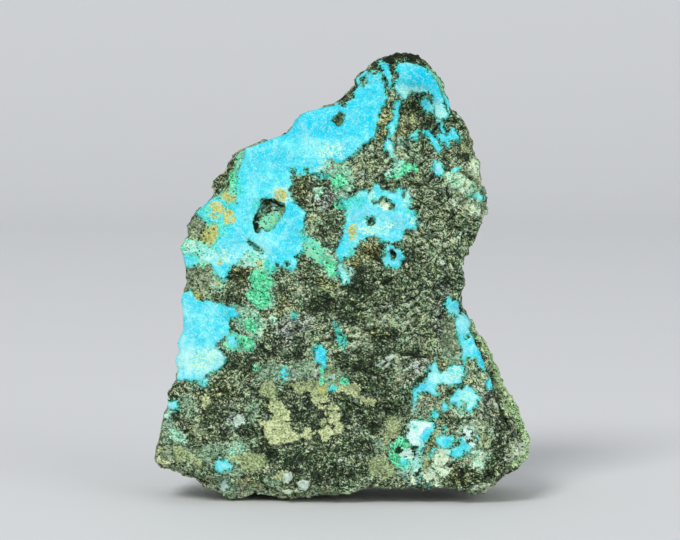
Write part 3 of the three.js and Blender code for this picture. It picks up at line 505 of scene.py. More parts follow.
# Soft changes of tone in the rock, and in the crust for white and deep, with some painted shade among the
# dark
# ones: middle on the drawing, half sizes, strength
rockTones = {
    "pale": [
        (462, 180, 20, 18, 1), (474, 160, 8, 22, 0.7), (472, 205, 14, 12, 0.6), (366, 166, 20, 10, 0.7),
        (410, 152, 18, 12, 0.4), (416, 232, 10, 10, 0.5), (398, 241, 10, 7, 0.5), (360, 306, 8, 6, 0.6),
        (352, 330, 14, 8, 0.7), (432, 346, 12, 10, 0.7), (302, 286, 14, 8, 0.5), (312, 340, 12, 8, 0.5),
        (334, 346, 10, 7, 0.6), (362, 345, 12, 10, 0.9), (398, 366, 8, 6, 0.6), (410, 342, 8, 6, 0.6),
        (300, 372, 34, 12, 0.7), (195, 430, 7, 6, 0.6), (236, 419, 12, 7, 0.7), (478, 394, 18, 20, 0.5),
        (456, 410, 16, 10, 0.7), (476, 418, 14, 12, 0.7), (488, 432, 10, 14, 0.7), (482, 452, 12, 12, 0.7),
        (240, 488, 30, 7, 0.7), (290, 493, 30, 5, 0.8), (345, 494, 36, 5, 0.7), (398, 487, 20, 5, 0.7),
        (482, 489, 22, 6, 0.7), (272, 345, 12, 8, 0.4), (440, 245, 12, 16, 0.4), (425, 190, 10, 8, 0.5),
        (444, 205, 8, 6, 0.4), (430, 268, 10, 8, 0.4), (398, 142, 6, 10, 0.5), (236, 380, 12, 8, 0.4),
        (515, 462, 8, 6, 0.9), (268, 318, 10, 8, 0.4), (205, 400, 8, 8, 0.4), (414, 303, 22, 6, 0.5),
        (388, 360, 12, 5, 0.7), (454, 338, 9, 20, 0.7), (392, 322, 20, 6, 0.8), (303, 176, 10, 7, 0.7),
        (342, 196, 8, 8, 0.8), (310, 216, 8, 8, 0.6), (382, 116, 8, 12, 0.6), (375, 140, 10, 10, 0.6),
        (393, 160, 12, 10, 0.7), (456, 204, 10, 8, 0.8), (443, 214, 10, 8, 0.7), (410, 232, 10, 8, 0.7),
        (430, 252, 12, 10, 0.6), (450, 252, 8, 8, 0.5), (388, 270, 16, 8, 0.6), (432, 290, 10, 6, 0.7),
        (333, 262, 8, 16, 0.6), (212, 276, 6, 12, 0.9), (217, 290, 8, 8, 0.9), (202, 297, 10, 5, 0.6),
        (240, 264, 12, 8, 0.4), (255, 320, 10, 10, 0.6), (286, 330, 8, 16, 0.6), (222, 344, 10, 8, 0.6),
        (236, 352, 14, 6, 0.5), (330, 365, 10, 8, 0.7), (415, 405, 12, 10, 1), (428, 410, 12, 8, 1),
        (383, 440, 8, 14, 0.6), (360, 400, 8, 10, 0.5), (415, 370, 8, 10, 0.5), (455, 355, 12, 10, 0.7),
        (482, 378, 14, 8, 0.7), (441, 388, 10, 6, 0.6), (492, 412, 6, 12, 0.8), (376, 318, 12, 6, 0.6),
        (405, 316, 12, 5, 0.5), (190, 385, 12, 8, 0.6), (182, 415, 8, 8, 0.5), (180, 437, 10, 8, 0.5),
        (205, 450, 14, 8, 0.5), (235, 462, 12, 14, 0.4), (220, 482, 14, 10, 0.8), (286, 455, 12, 8, 0.6),
        (301, 395, 10, 14, 0.4), (430, 462, 20, 10, 0.7), (508, 450, 10, 12, 0.7), (262, 490, 20, 6, 0.8),
        (326, 166, 8, 7, 1), (310, 176, 10, 6, 0.6), (222, 178, 6, 8, 0.8), (318, 226, 10, 14, 0.4),
        (332, 258, 6, 10, 0.7), (306, 300, 18, 8, 0.8), (300, 404, 10, 12, 0.4), (250, 268, 20, 8, 0.4),
        (236, 312, 10, 8, 0.5), (395, 140, 10, 8, 0.4), (400, 400, 16, 10, 0.4), (455, 442, 8, 6, 0.5),
        (430, 458, 10, 8, 0.4), (240, 470, 10, 8, 0.5), (284, 498, 26, 4, 0.6), (465, 330, 6, 8, 0.4),
        (200, 300, 14, 6, 0.4), (382, 172, 6, 8, 0.5), (345, 232, 6, 8, 0.4), (524, 446, 8, 14, 0.8),
        (500, 385, 6, 30, 0.3), (292, 314, 10, 8, 0.7), (320, 362, 8, 7, 0.9), (330, 368, 6, 6, 0.6),
        (380, 468, 14, 12, 0.7), (400, 456, 12, 6, 0.4), (444, 458, 12, 8, 0.6), (465, 438, 8, 5, 0.6),
        (455, 350, 10, 12, 0.5), (435, 398, 8, 8, 0.5), (286, 497, 22, 4, 0.6), (218, 484, 10, 8, 0.4),
        (310, 176, 10, 8, 0.4), (328, 212, 10, 14, 0.5), (362, 178, 12, 8, 0.4), (440, 168, 6, 6, 0.8),
        (415, 206, 8, 8, 0.4), (308, 300, 12, 8, 0.5), (295, 316, 10, 8, 0.5), (272, 330, 10, 8, 0.4),
        (212, 380, 8, 8, 0.5), (436, 398, 8, 8, 0.5), (378, 466, 10, 12, 0.5), (488, 420, 6, 10, 0.5),
        (234, 312, 8, 8, 0.5), (352, 438, 14, 8, 0.4), (240, 268, 10, 8, 0.4), (470, 366, 9, 9, 1.0),
        (466, 412, 10, 8, 0.6), (440, 405, 12, 8, 0.5), (462, 472, 10, 6, 0.4), (400, 480, 14, 6, 0.3),
        (484, 470, 8, 6, 0.6), (308, 356, 8, 8, 0.6), (508, 408, 4, 8, 0.9), (516, 424, 5, 8, 0.9),
        (521, 442, 4, 8, 0.7),
    ],
    # mostly darker rock; the spots from (475, 336) to (516, 431), with (506, 412), are painted shade down the
    # groove beside the right rim, and (270, 206), (258, 210), (258, 222) and (256, 226) painted shade on the
    # upper and left walls of the pit
    "dark": [
        (400, 54, 44, 10, 1.8), (414, 104, 13, 11, 1.2), (430, 126, 8, 12, 0.8), (372, 66, 10, 6, 0.6),
        (354, 84, 8, 20, 0.9), (451, 88, 8, 22, 0.9), (386, 92, 5, 22, 0.4), (326, 226, 18, 20, 0.35),
        (304, 186, 12, 12, 0.5), (300, 250, 9, 8, 0.8), (270, 206, 14, 8, 1), (258, 222, 5, 10, 1),
        (223, 166, 10, 16, 0.9), (316, 304, 17, 11, 1), (348, 312, 11, 13, 1.1), (358, 288, 14, 7, 1),
        (382, 333, 21, 9, 1.2), (416, 353, 7, 6, 0.9), (340, 356, 9, 6, 0.7), (308, 350, 8, 6, 0.6),
        (362, 366, 16, 8, 0.8), (446, 214, 12, 8, 0.7), (404, 398, 9, 14, 0.9), (362, 412, 14, 12, 0.7),
        (306, 406, 15, 20, 1), (346, 416, 6, 24, 0.7), (260, 448, 18, 6, 0.9), (290, 456, 24, 7, 0.6),
        (250, 428, 12, 9, 0.8), (340, 470, 26, 10, 0.5), (236, 272, 14, 8, 0.8), (234, 300, 9, 8, 0.6),
        (232, 332, 8, 7, 0.6), (246, 366, 10, 7, 0.5), (222, 386, 10, 9, 0.5), (176, 412, 7, 7, 0.8),
        (182, 436, 8, 7, 0.7), (500, 416, 12, 15, 1.1), (506, 446, 10, 16, 0.6), (460, 482, 16, 6, 0.7),
        (494, 392, 5, 14, 0.9), (488, 470, 8, 10, 0.7), (463, 308, 6, 7, 1.2), (444, 300, 6, 14, 0.8),
        (428, 440, 5, 10, 0.6), (446, 132, 7, 9, 0.5), (276, 226, 8, 6, 0.3), (270, 350, 6, 8, 0.4),
        (420, 380, 6, 8, 0.5), (376, 420, 10, 14, 0.5), (376, 382, 12, 9, 0.5), (318, 420, 12, 10, 0.6),
        (405, 258, 8, 8, 0.5), (364, 290, 10, 10, 0.7), (400, 298, 10, 5, 0.5), (345, 322, 8, 8, 0.6),
        (312, 335, 8, 8, 0.5), (268, 346, 8, 9, 0.8), (290, 360, 10, 8, 0.5), (382, 350, 12, 8, 0.7),
        (440, 330, 10, 8, 0.6), (216, 397, 10, 8, 0.7), (210, 424, 12, 8, 0.7), (387, 393, 16, 6, 1),
        (335, 397, 8, 6, 0.6), (275, 388, 8, 6, 0.5), (300, 470, 14, 9, 1), (315, 480, 8, 6, 0.7),
        (360, 478, 10, 8, 0.7), (345, 450, 16, 8, 0.5), (418, 476, 10, 8, 0.6), (452, 474, 14, 10, 0.9),
        (475, 478, 14, 10, 0.8), (497, 452, 8, 14, 1), (245, 432, 10, 8, 0.5), (440, 145, 8, 8, 0.7),
        (366, 158, 7, 7, 0.6), (322, 304, 13, 12, 0.9), (398, 450, 4, 4, 1.8), (413, 448, 4, 2.5, 1.6),
        (371, 221, 5, 5, 1.2), (394, 255, 3, 4, 1), (467, 157, 5, 6, 1.2), (479, 345, 3, 10, 0.8),
        (165, 447, 5, 7, 0.5), (386, 68, 7, 10, 0.8), (470, 145, 6, 14, 0.5), (450, 172, 5, 6, 0.3),
        (380, 284, 10, 8, 0.4), (440, 238, 16, 8, 0.4), (400, 302, 10, 6, 0.4), (445, 332, 6, 8, 0.4),
        (242, 330, 6, 8, 0.4), (250, 352, 8, 12, 0.4), (160, 440, 5, 20, 0.5), (426, 486, 12, 5, 0.8),
        (426, 106, 10, 8, 0.5), (300, 206, 8, 8, 0.3), (300, 360, 8, 6, 0.4), (188, 256, 8, 10, 0.2),
        (290, 472, 14, 8, 0.3), (475, 336, 3, 5, 1.7), (482, 349, 3, 7, 1.7), (487, 361, 3, 7, 1.7),
        (492, 373, 4, 7, 1.8), (497, 386, 4, 8, 1.9), (501, 398, 4, 8, 1.9), (512, 421, 5, 7, 1.8),
        (516, 431, 4, 6, 1.2), (270, 304, 10, 8, 0.5), (250, 275, 5, 10, 0.5), (276, 268, 8, 8, 0.4),
        (310, 240, 8, 6, 0.5), (324, 248, 6, 8, 0.5), (320, 188, 6, 6, 0.5), (348, 204, 6, 8, 0.4),
        (196, 452, 8, 8, 0.3), (190, 432, 16, 8, 0.4), (290, 472, 16, 8, 0.5), (268, 460, 8, 6, 0.4),
        (312, 452, 16, 8, 0.3), (368, 440, 10, 14, 0.5), (360, 452, 14, 8, 0.4), (418, 464, 6, 8, 0.6),
        (475, 460, 6, 8, 0.5), (476, 172, 6, 16, 0.3), (464, 150, 10, 10, 0.5), (500, 454, 6, 12, 0.5),
        (346, 358, 8, 5, 0.5), (368, 384, 14, 10, 0.4), (300, 204, 6, 6, 0.5), (250, 346, 8, 10, 0.4),
        (415, 265, 10, 10, 0.4), (388, 282, 14, 8, 0.4), (388, 68, 6, 8, 0.8), (376, 64, 10, 8, 1.0),
        (430, 66, 10, 10, 0.8), (268, 350, 8, 6, 0.6), (298, 356, 12, 8, 0.5), (418, 478, 10, 12, 0.5),
        (400, 298, 16, 6, 0.4), (468, 212, 8, 5, 0.4), (258, 210, 4, 8, 1), (256, 226, 4, 8, 1),
        (415, 487, 22, 5, 0.8), (256, 422, 10, 10, 0.4), (236, 418, 6, 6, 0.4), (192, 445, 8, 12, 0.4),
        (250, 374, 10, 10, 0.4), (388, 72, 3, 8, 0.6), (506, 412, 5, 10, 5.5), (355, 275, 12, 10, 2.4),
        (262, 352, 18, 7, 0.4), (284, 336, 12, 6, 0.4),
    ],
    "brown": [
        (368, 250, 14, 12, 1.0), (350, 263, 12, 7, 1.0), (302, 250, 9, 8, 0.8), (240, 272, 14, 9, 0.8),
        (382, 112, 9, 34, 0.9), (300, 190, 14, 14, 0.5), (404, 122, 14, 16, 0.8), (380, 333, 18, 9, 0.5),
        (266, 206, 14, 9, 0.8), (284, 306, 14, 14, 0.5), (220, 392, 20, 14, 0.5), (222, 168, 10, 16, 0.5),
        (428, 440, 5, 10, 1.0), (452, 384, 16, 22, 0.4), (337, 162, 8, 6, 1.0), (330, 285, 12, 8, 0.6),
        (418, 465, 9, 6, 0.8), (460, 478, 16, 8, 0.7), (474, 190, 10, 12, 0.6), (497, 405, 5, 8, 0.9),
        (250, 480, 20, 8, 0.3), (200, 430, 16, 8, 0.5), (300, 386, 12, 5, 0.6), (440, 366, 6, 6, 0.7),
    ],
    "violet": [
        (330, 198, 14, 10, 1.0), (300, 376, 30, 9, 0.9), (292, 326, 20, 10, 0.9), (446, 292, 8, 16, 1.0),
        (418, 364, 10, 9, 0.7), (487, 400, 9, 14, 0.8), (238, 420, 12, 8, 0.8), (286, 334, 14, 8, 0.5),
        (305, 320, 10, 6, 0.6), (410, 376, 12, 8, 0.4), (188, 402, 8, 10, 0.6), (226, 404, 12, 8, 0.4),
        (284, 344, 12, 6, 0.5), (438, 320, 6, 20, 0.6),
    ],
    "white": [
        (200, 362, 34, 16, 1.1), (186, 340, 10, 30, 0.4), (412, 430, 8, 10, 1.4), (408, 92, 18, 6, 0.8),
        (438, 112, 7, 12, 1.0), (440, 378, 20, 7, 0.9), (468, 398, 14, 14, 0.7), (462, 322, 10, 16, 0.8),
        (466, 430, 6, 8, 1.0), (236, 256, 34, 12, 0.4), (326, 146, 26, 8, 0.3), (356, 256, 10, 12, 0.4),
        (282, 194, 12, 8, 0.9), (224, 348, 10, 14, 0.4), (345, 272, 6, 10, 0.5), (458, 350, 10, 8, 0.5),
        (406, 456, 7, 6, 1.0), (379, 222, 22, 8, 0.3), (262, 236, 40, 8, 0.2), (172, 405, 6, 5, 0.8),
        (204, 262, 16, 8, 0.4), (396, 152, 4, 12, 0.6), (224, 467, 8, 6, 0.5), (375, 216, 44, 28, 0.3),
        (440, 378, 26, 14, 0.3), (440, 168, 5, 7, 1),
    ],
    "deep": [
        (424, 76, 16, 10, 1.1), (384, 80, 6, 16, 0.4), (482, 358, 7, 13, 1.4), (428, 436, 7, 10, 1.1),
        (300, 128, 40, 12, 0.6), (346, 108, 14, 8, 0.3), (304, 222, 14, 12, 0.5), (206, 302, 26, 8, 0.5),
        (320, 356, 9, 12, 0.6), (400, 228, 16, 12, 0.5), (424, 390, 14, 9, 0.9), (436, 142, 26, 10, 0.6),
        (280, 158, 50, 10, 0.3), (454, 306, 8, 8, 0.6), (362, 206, 12, 12, 0.5), (394, 256, 12, 12, 0.4),
        (250, 170, 12, 20, 0.3), (356, 84, 8, 8, 0.4), (344, 238, 8, 16, 0.3), (340, 334, 7, 12, 0.7),
        (462, 448, 10, 7, 0.5),
    ],
}

# Lines where the rock is cut into: points, half width on the grid, depth in mm
grooves = {
    "ledge": ([(326, 370), (338, 373), (347, 380), (356, 386), (364, 396), (376, 406), (392, 411),
               (405, 411)],
              3.0, 0.55),
    "crease": ([(436, 284), (440, 300), (445, 318), (449, 338), (452, 352)], 3.5, 0.7),
    "notch": ([(459, 303), (463, 308), (468, 314)], 2.5, 0.9),
    "besideRim": ([(472, 328), (480, 344), (488, 364), (494, 378), (500, 396), (506, 410), (513, 422)],
                  2.8, 1.3),
    "besideRimLow": ([(498, 402), (504, 414), (512, 426), (514, 434)], 4.5, 0.7),
    "underShoulder": ([(244, 152), (240, 164), (233, 176), (227, 186), (220, 194)], 2.2, 0.5),
    "chinLeft": ([(190, 467), (207, 466), (212, 473), (230, 478), (246, 478), (262, 476)], 2.2, 0.45),
    "underCream": ([(312, 436), (300, 442), (284, 446), (270, 446), (262, 438), (259, 428)], 2.0, 0.3),
    "middleFold": ([(262, 352), (290, 340), (322, 330), (352, 318), (380, 318)], 2.4, 0.45),
    "darkFold": ([(352, 352), (372, 356), (392, 350), (412, 356), (430, 346)], 2.6, 0.5),
    "upperFold": ([(398, 320), (408, 306), (424, 301), (440, 302)], 2.0, 0.4),
    "lowFold": ([(420, 352), (432, 362), (424, 378), (414, 386)], 2.2, 0.4),
    "blockSide": ([(486, 400), (488, 424), (484, 448), (488, 472)], 2.4, 0.45),
    "cheek": ([(404, 176), (420, 186), (440, 190), (452, 204)], 2.0, 0.35),
    "branchSide": ([(404, 100), (402, 118), (396, 134), (396, 150)], 2.0, 0.45),
}
# Loose plates of pale mineral lying on the rock: outline and height in mm
chips = {
    "foot": ([(297, 482), (303, 479), (310, 481), (309, 487), (306, 491), (299, 490)], 0.45),
    "footGrey": ([(283, 474), (291, 472), (293, 478), (288, 484), (283, 481)], 0.3),
    "sliverA": ([(376, 366), (383, 360), (386, 361), (379, 368)], 0.3),
    "sliverB": ([(385, 358), (393, 354), (396, 356), (388, 362)], 0.35),
    "sliverC": ([(384, 365), (390, 362), (392, 365), (386, 368)], 0.3),
    "grey": ([(233, 418), (238, 414), (244, 417), (241, 422), (235, 424)], 0.3),
    "pink": ([(493, 402), (498, 403), (500, 408), (495, 408)], 0.4),
}

# How far the bottom edge is off the ground: column of the drawing, and steps of the drawing
bottomEdge = [
    (155, 1), (176, 5), (190, 6), (208, 4), (220, 6), (232, 1), (244, 3), (256, 6), (270, 4), (285, 1.5),
    (305, 1.5), (318, 5), (340, 3), (355, 4), (366, 6), (378, 6), (390, 4), (404, 7), (414, 7), (424, 3),
    (436, 5), (460, 4), (474, 2), (486, 4), (497, 4), (508, 9), (520, 6), (530, 2),
]
# Places along the outline that stand out or fall back: middle, half sizes, mm
outlineSwells = [
    (325, 104, 16, 8, 0.45), (276, 137, 16, 8, 0.4), (243, 152, 8, 8, 0.3), (375, 70, 10, 8, 0.4),
    (240, 176, 10, 10, 0.25), (448, 112, 8, 16, -0.3), (474, 150, 8, 10, -0.4), (488, 202, 8, 16, -0.5),
    (468, 255, 8, 10, -0.4), (184, 245, 8, 8, 0.5), (470, 322, 8, 10, 0.4), (486, 352, 8, 14, 0.4),
]

# Places where the rock is more or less knobby, and where its layers are folded: middle, half sizes,
# strength
knobbyPlaces = [(430, 190, 66, 70, 0.8), (410, 290, 60, 40, 0.5), (240, 400, 60, 40, 0.2),
                (300, 440, 60, 50, -0.25), (212, 275, 30, 20, -0.3)]
foldedPlaces = [(350, 320, 90, 50, 1.0), (290, 350, 60, 30, 0.7), (420, 300, 50, 40, 0.6),
                (504, 452, 20, 30, 0.8), (462, 200, 30, 40, 0.5)]

slabShape = {
    "wander": 1.5,          # steps of the drawing that outlines tremble by
    "voxel": 0.3,           # mm, even mesh of the whole slab
    "quickVoxel": 0.6,
    "facetSmoothing": 7,    # passes that take the flat facets off
    "triangles": 190000,    # what is left once the sides and the back are thinned out
    "frontDepth": 6,        # mm behind the middle plane that the front's fine mesh reaches
    "frontFacing": 0.25,    # how far a face looks forward to count as the front
    "liftFrom": 9,          # mm behind the middle plane where the foot begins to lift
    "liftFull": -3,         # mm, where it lifts all the way
    "liftHeight": 6,        # mm above the ground over which that fades
    "crustHeight": 0.22,    # mm that the crust stands on the rock
    "filmHeight": 0.13,     # mm, the same for the films
    "crustDents": 0.14,     # mm
    "crustGrain": 0.05,     # mm
    "grain": 0.95,          # mm, size of the schist's grains
    "grainTilt": 0.36,      # how far the grains lean
    "grainStep": 0.22,      # how far they stand out, as a share of their size
    "lump": 3.2,            # mm, size of the larger lumps
    "lumpTilt": 0.28,
    "lumpStep": 0.14,
    "lumpGap": 0.35,        # mm, depth of the lines between lumps
    "knobbiness": 0.55,     # share of the lumps that shows everywhere
    "billow": 0.4,          # mm, rounded swellings with creases between them
    "foldHeight": 0.5,      # mm
    "foldWidth": 3.4,       # steps of the drawing
    "pitDepth": 0.75,       # mm
    "holeDepth": 0.3,       # mm, bare rock below the crust round it
    "layer": 1.9,           # mm, thickness of the layers that show round the sides
    "layerDepth": 0.42,     # mm, steps between them
    "swellDepth": 12,       # mm behind the middle plane that swells of the outline reach
    "settle": 0.12,         # mm that the whole surface is drawn in, to stay inside the solid
    "clearance": 0.01,      # mm that it keeps to the solid's box
    "creviceDepth": 0.05,   # mm, small hollows that count as a crevice
    "hollowDepth": 0.22,    # mm, the same for wide hollows
}


def applyModifiers(piece):
    graph = bpy.context.evaluated_depsgraph_get()
    shaped = bpy.data.meshes.new_from_object(piece.evaluated_get(graph))
    piece.modifiers.clear()
    piece.data = shaped


def readPoints(mesh):
    points = np.empty(len(mesh.vertices) * 3)
    mesh.vertices.foreach_get("co", points)
    return points.reshape(-1, 3) * mmInMetre


def writePoints(mesh, points):
    mesh.vertices.foreach_set("co", (points / mmInMetre).ravel())
    mesh.update()


def readNormals(mesh):
    normals = np.empty(len(mesh.vertices) * 3)
    mesh.vertex_normals.foreach_get("vector", normals)
    return normals.reshape(-1, 3)


def readEdges(mesh):
    edges = np.empty(len(mesh.edges) * 2, dtype=np.int64)
    mesh.edges.foreach_get("vertices", edges)
    return edges.reshape(-1, 2)


def averageOver(edges, values, passes):
    # each vertex moves half way to the mean of its neighbours, some times over
    ends = np.concatenate([edges[:, 0], edges[:, 1]])
    others = np.concatenate([edges[:, 1], edges[:, 0]])
    count = np.bincount(ends, minlength=len(values))
    for _ in range(passes):
        sums = [np.bincount(ends, weights=column[others], minlength=len(values)) for column in values.T]
        values = 0.5 * values + 0.5 * np.stack(sums, 1) / count[:, None]
    return values


def step(low, high, x):
    t = np.clip((x - low) / (high - low), 0, 1)
    return t * t * (3 - 2 * t)


def softNoise(points, size, seed):
    # smooth noise from about -1 to 1, with lumps of about that size in mm
    slopes = np.random.default_rng(seed).normal(size=(noiseCells, noiseCells, noiseCells, 3))
    slopes /= np.linalg.norm(slopes, axis=3)[..., None]
    scaled = points / size
    cell = np.floor(scaled).astype(int)
    part = scaled - cell
    ease = part ** 3 * (part * (6 * part - 15) + 10)
    total = np.zeros(len(points))
    for corner in itertools.product((0, 1), repeat=3):
        weight = np.prod(np.where(np.array(corner), ease, 1 - ease), axis=1)
        x, y, z = ((cell + corner) % noiseCells).T
        total += weight * np.sum(slopes[x, y, z] * (part - corner), axis=1)
    return 1.6 * total


def layeredNoise(points, size, seed, layers=3):
    return sum(softNoise(points, size / 2 ** k, seed + k) / 2 ** k for k in range(layers))


def cellNoise(points, size, seed):
    # grains: distance to the edge of the one that a point is in, and a number and a lean of its own for each
    lattice = np.random.default_rng(seed).uniform(0, 1, (noiseCells, noiseCells, noiseCells, 7))
    scaled = points / size
    cell = np.floor(scaled).astype(int)
    first = np.full(len(points), 9.0)
    second = np.full(len(points), 9.0)
    number = np.zeros(len(points))
    lean = np.zeros(len(points))
    for offset in itertools.product((-1, 0, 1), repeat=3):
        there = cell + offset
        x, y, z = (there % noiseCells).T
        entry = lattice[x, y, z]
        away = scaled - there - entry[:, :3]
        gap = np.linalg.norm(away, axis=1)
        nearer = gap < first
        second = np.where(nearer, first, np.minimum(second, gap))
        number = np.where(nearer, entry[:, 3], number)
        lean = np.where(nearer, np.sum(away * (2 * entry[:, 4:7] - 1), axis=1), lean)
        first = np.where(nearer, gap, first)
    return second - first, number, lean


def drawnAt(points):
    # where a point shows on the drawing, in perspective
    tilt = math.radians(view["elevation"])
    aside = points - np.array(view["target"])
    depth = view["distance"] + aside @ (0, math.cos(tilt), -math.sin(tilt))
    scale = view["steps"] * view["distance"] / depth
    across = aside[:, 0] * scale
    up = aside @ (0, math.sin(tilt), math.cos(tilt)) * scale
    return np.stack([view["targetColumn"] + across, view["targetRow"] - up], 1)


def awayFromSide(points, a, b):
    side = b - a
    along = np.clip((points - a) @ side / (side @ side), 0, 1)
    return np.hypot(*(points - a - along[:, None] * side).T)


def insideOf(grid, outline):
    # distance to an outline in steps of the drawing: positive inside it, negative outside
    outline = np.array(outline, dtype=float)
    result = np.full(len(grid), -farSteps)
    near = np.all((grid > outline.min(0) - farSteps) & (grid < outline.max(0) + farSteps), axis=1)
    points = grid[near]
    nearest = np.full(len(points), farSteps)
    inside = np.zeros(len(points), dtype=bool)
    for a, b in zip(outline, np.roll(outline, -1, axis=0)):
        nearest = np.minimum(nearest, awayFromSide(points, a, b))
        side = b - a
        if side[1]:
            crosses = (a[1] > points[:, 1]) != (b[1] > points[:, 1])
            inside ^= crosses & (points[:, 0] < a[0] + (points[:, 1] - a[1]) * side[0] / side[1])
    result[near] = np.where(inside, nearest, -nearest)
    return result


def insideAny(grid, outlines):
    return np.max([insideOf(grid, outline) for outline in outlines.values()], axis=0)


def awayFrom(grid, line):
    # distance to a line of points in steps of the drawing
    line = np.array(line, dtype=float)
    return np.min([awayFromSide(grid, a, b) for a, b in zip(line, line[1:])], axis=0)


def softSpots(grid, spots):
    total = np.zeros(len(grid))
    for u, v, halfWidth, halfHeight, strength in spots:
        away = np.hypot((grid[:, 0] - u) / halfWidth, (grid[:, 1] - v) / halfHeight)
        total += strength * np.exp(-away ** 3)
    return total


def liftFoot(points, line, shape):
    # the front bottom edge stands a little off the ground, by steps of the drawing given along it
    columns, lifts = zip(*line)
    across = drawnAt(points)[:, 0]
    lift = np.interp(across, columns, lifts) / view["steps"]
    lift *= step(shape["liftFrom"], shape["liftFull"], points[:, 1])
    lift *= np.exp(-(points[:, 2] / shape["liftHeight"]) ** 2)
    return points + lift[:, None] * (0, 0, 1)


def makeSlab(node, shape):
    slab = bpy.data.objects.new("crustedSlab", node.data.copy())
    bpy.context.scene.collection.objects.link(slab)
    voxel = shape["voxel"]
    remesh = slab.modifiers.new("evenMesh", "REMESH")
    remesh.mode = "VOXEL"
    remesh.voxel_size = voxel / mmInMetre
    applyModifiers(slab)
    points = readPoints(slab.data)
    points = averageOver(readEdges(slab.data), points, shape["facetSmoothing"])
    points = liftFoot(points, bottomEdge, shape)
    writePoints(slab.data, points)
    # the front keeps its fine mesh, the sides and the back are thinned out
    facing = -readNormals(slab.data)[:, 1]
    behind = slab.vertex_groups.new(name="behind")
    hidden = np.flatnonzero((facing < shape["frontFacing"]) | (points[:, 1] > shape["frontDepth"]))
    behind.add(hidden.tolist(), 1.0, "REPLACE")
    slab.modifiers.new("triangles", "TRIANGULATE")
    applyModifiers(slab)
    thin = slab.modifiers.new("thinOut", "DECIMATE")
    thin.vertex_group = behind.name
    thin.ratio = min(1, shape["triangles"] / len(slab.data.polygons))
    applyModifiers(slab)
    slab.vertex_groups.clear()
    return slab


slab = makeSlab(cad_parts["specimen"], slabShape)
print("slab mesh:", len(slab.data.vertices), "vertices,", len(slab.data.polygons), "faces")

# Where each vertex lies, how far it faces the front, and how far it is on the edge
edges = readEdges(slab.data)
points = readPoints(slab.data)
normals = averageOver(edges, readNormals(slab.data), 3)
normals /= np.linalg.norm(normals, axis=1)[:, None]
grid = drawnAt(points)
front = step(-0.05, 0.3, -normals[:, 1]) * step(4, -2, points[:, 1])
edge = 1 - step(0.35, 0.75, np.abs(normals[:, 1]))
wander = slabShape["wander"] * np.stack([layeredNoise(points, 1.6, seed) for seed in (11, 17)], 1)
ragged = grid + wander  # outlines are followed with a slight tremble
gathered = softNoise(points, 26, 7)  # stains away from the front keep together

noiseSteps = 12  # steps of the drawing from a patch's edge that noise of strength 1 stands for
# Each finish: its patches on the front, and the size in mm, the seed and the rarity of those elsewhere
drawnFinishes = {
    "cyan": (cyanPatches, 13, 31, 0.95),
    "teal": (tealPatches, 11, 41, 1.05),
    "green": (greenPatches, 8, 47, 1.1),
    "ochre": (ochrePatches, 8, 53, 1.15),
    "cream": (creamPatches, 14, 59, 0.8),
    "speckled": (speckledPatches, 12, 61, 1.0),
    "dust": (dustPatches, 12, 79, 0.6),
    "tan": (tanPatches, 9, 97, 0.85),
    "mint": (mintPatches, 10, 101, 1.0),
    "grey": (greyPatches, 10, 103, 0.7),
    "frost": (frostPatches, 8, 71, 1.1),
    "milk": (milkPatches, 9, 107, 1.1),
    "bloom": (bloomPatches, 9, 127, 1.1),
    "sea": (seaPatches, 6, 109, 1.1),
    "chip": ({name: outline for name, (outline, _) in chips.items()}, 5, 67, 2),
}
# Tones away from the front: size in mm, seed, and the noise where they begin and are full
looseTones = {
    "pale": (10, 67, 0, 0.8),
    "dark": (12, 71, 0.1, 0.9),
    "brown": (15, 73, 0, 0.7),
}


def frontOrNoise(inside, size, seed, rarity):
    # the front keeps its own patches, elsewhere they fall where they may
    scattered = noiseSteps * (layeredNoise(points, size, seed) + 0.5 * gathered - rarity)
    return front * inside + (1 - front) * np.clip(scattered, -farSteps, farSteps)


def layOutFinishes():
    holes = {
        "cyan": insideAny(ragged, cyanHoles),
        "green": insideAny(grid + 0.5 * wander, greenHoles),
        "cream": insideAny(ragged, creamHoles),
    }
    laid = {}
    for name, (patches, size, seed, rarity) in drawnFinishes.items():
        inside = insideAny(grid if name == "chip" else ragged, patches)
        if name in holes:
            inside = np.minimum(inside, -holes[name])
        laid[name] = frontOrNoise(inside, size, seed, rarity)
    rimBack = 4 * (5 + 3.5 * softNoise(points, 5, 113) - points[:, 1])  # how far back along the side it goes
    laid["rim"] = np.minimum(insideOf(ragged, rimBand), np.maximum(rimBack, -farSteps))
    for name, spots in rockTones.items():
        laid[name] = softSpots(ragged, spots) * front
    for name, (size, seed, low, high) in looseTones.items():
        laid[name] += (1 - front) * step(low, high, layeredNoise(points, size, seed))
    return laid, holes["cyan"]


finishes, crustHoles = layOutFinishes()
print("finishes laid out")


def brokenGrains(shape, crust, film):
    # grains and lumps are flat facets that each lean their own way, with rounded swellings among them
    swirl = points + 0.5 * np.stack([softNoise(points, 2.5, seed) for seed in (3, 4, 6)], 1)
    _, number, lean = cellNoise(swirl * (1, 1.5, 1.3), shape["grain"], 5)
    grains = shape["grain"] * (shape["grainTilt"] * lean + shape["grainStep"] * (number - 0.5))
    border, number, lean = cellNoise(swirl * (1, 1.4, 1.2), shape["lump"], 9)
    lumps = shape["lump"] * (shape["lumpTilt"] * lean + shape["lumpStep"] * (number - 0.5))
    lumps -= shape["lumpGap"] * step(0.14, 0.0, border)
    creases = np.abs(softNoise(swirl, 4.2, 13)) + 0.5 * np.abs(softNoise(swirl, 2.0, 14)) - 0.6
    knobby = (shape["knobbiness"] + softSpots(grid, knobbyPlaces)) * (1 - 0.97 * crust)
    height = grains * (1 - 0.93 * crust) * (1 - 0.55 * film)
    height += lumps * knobby * (1 - 0.7 * film)
    return height + shape["billow"] * creases * knobby * (1 - 0.6 * film)


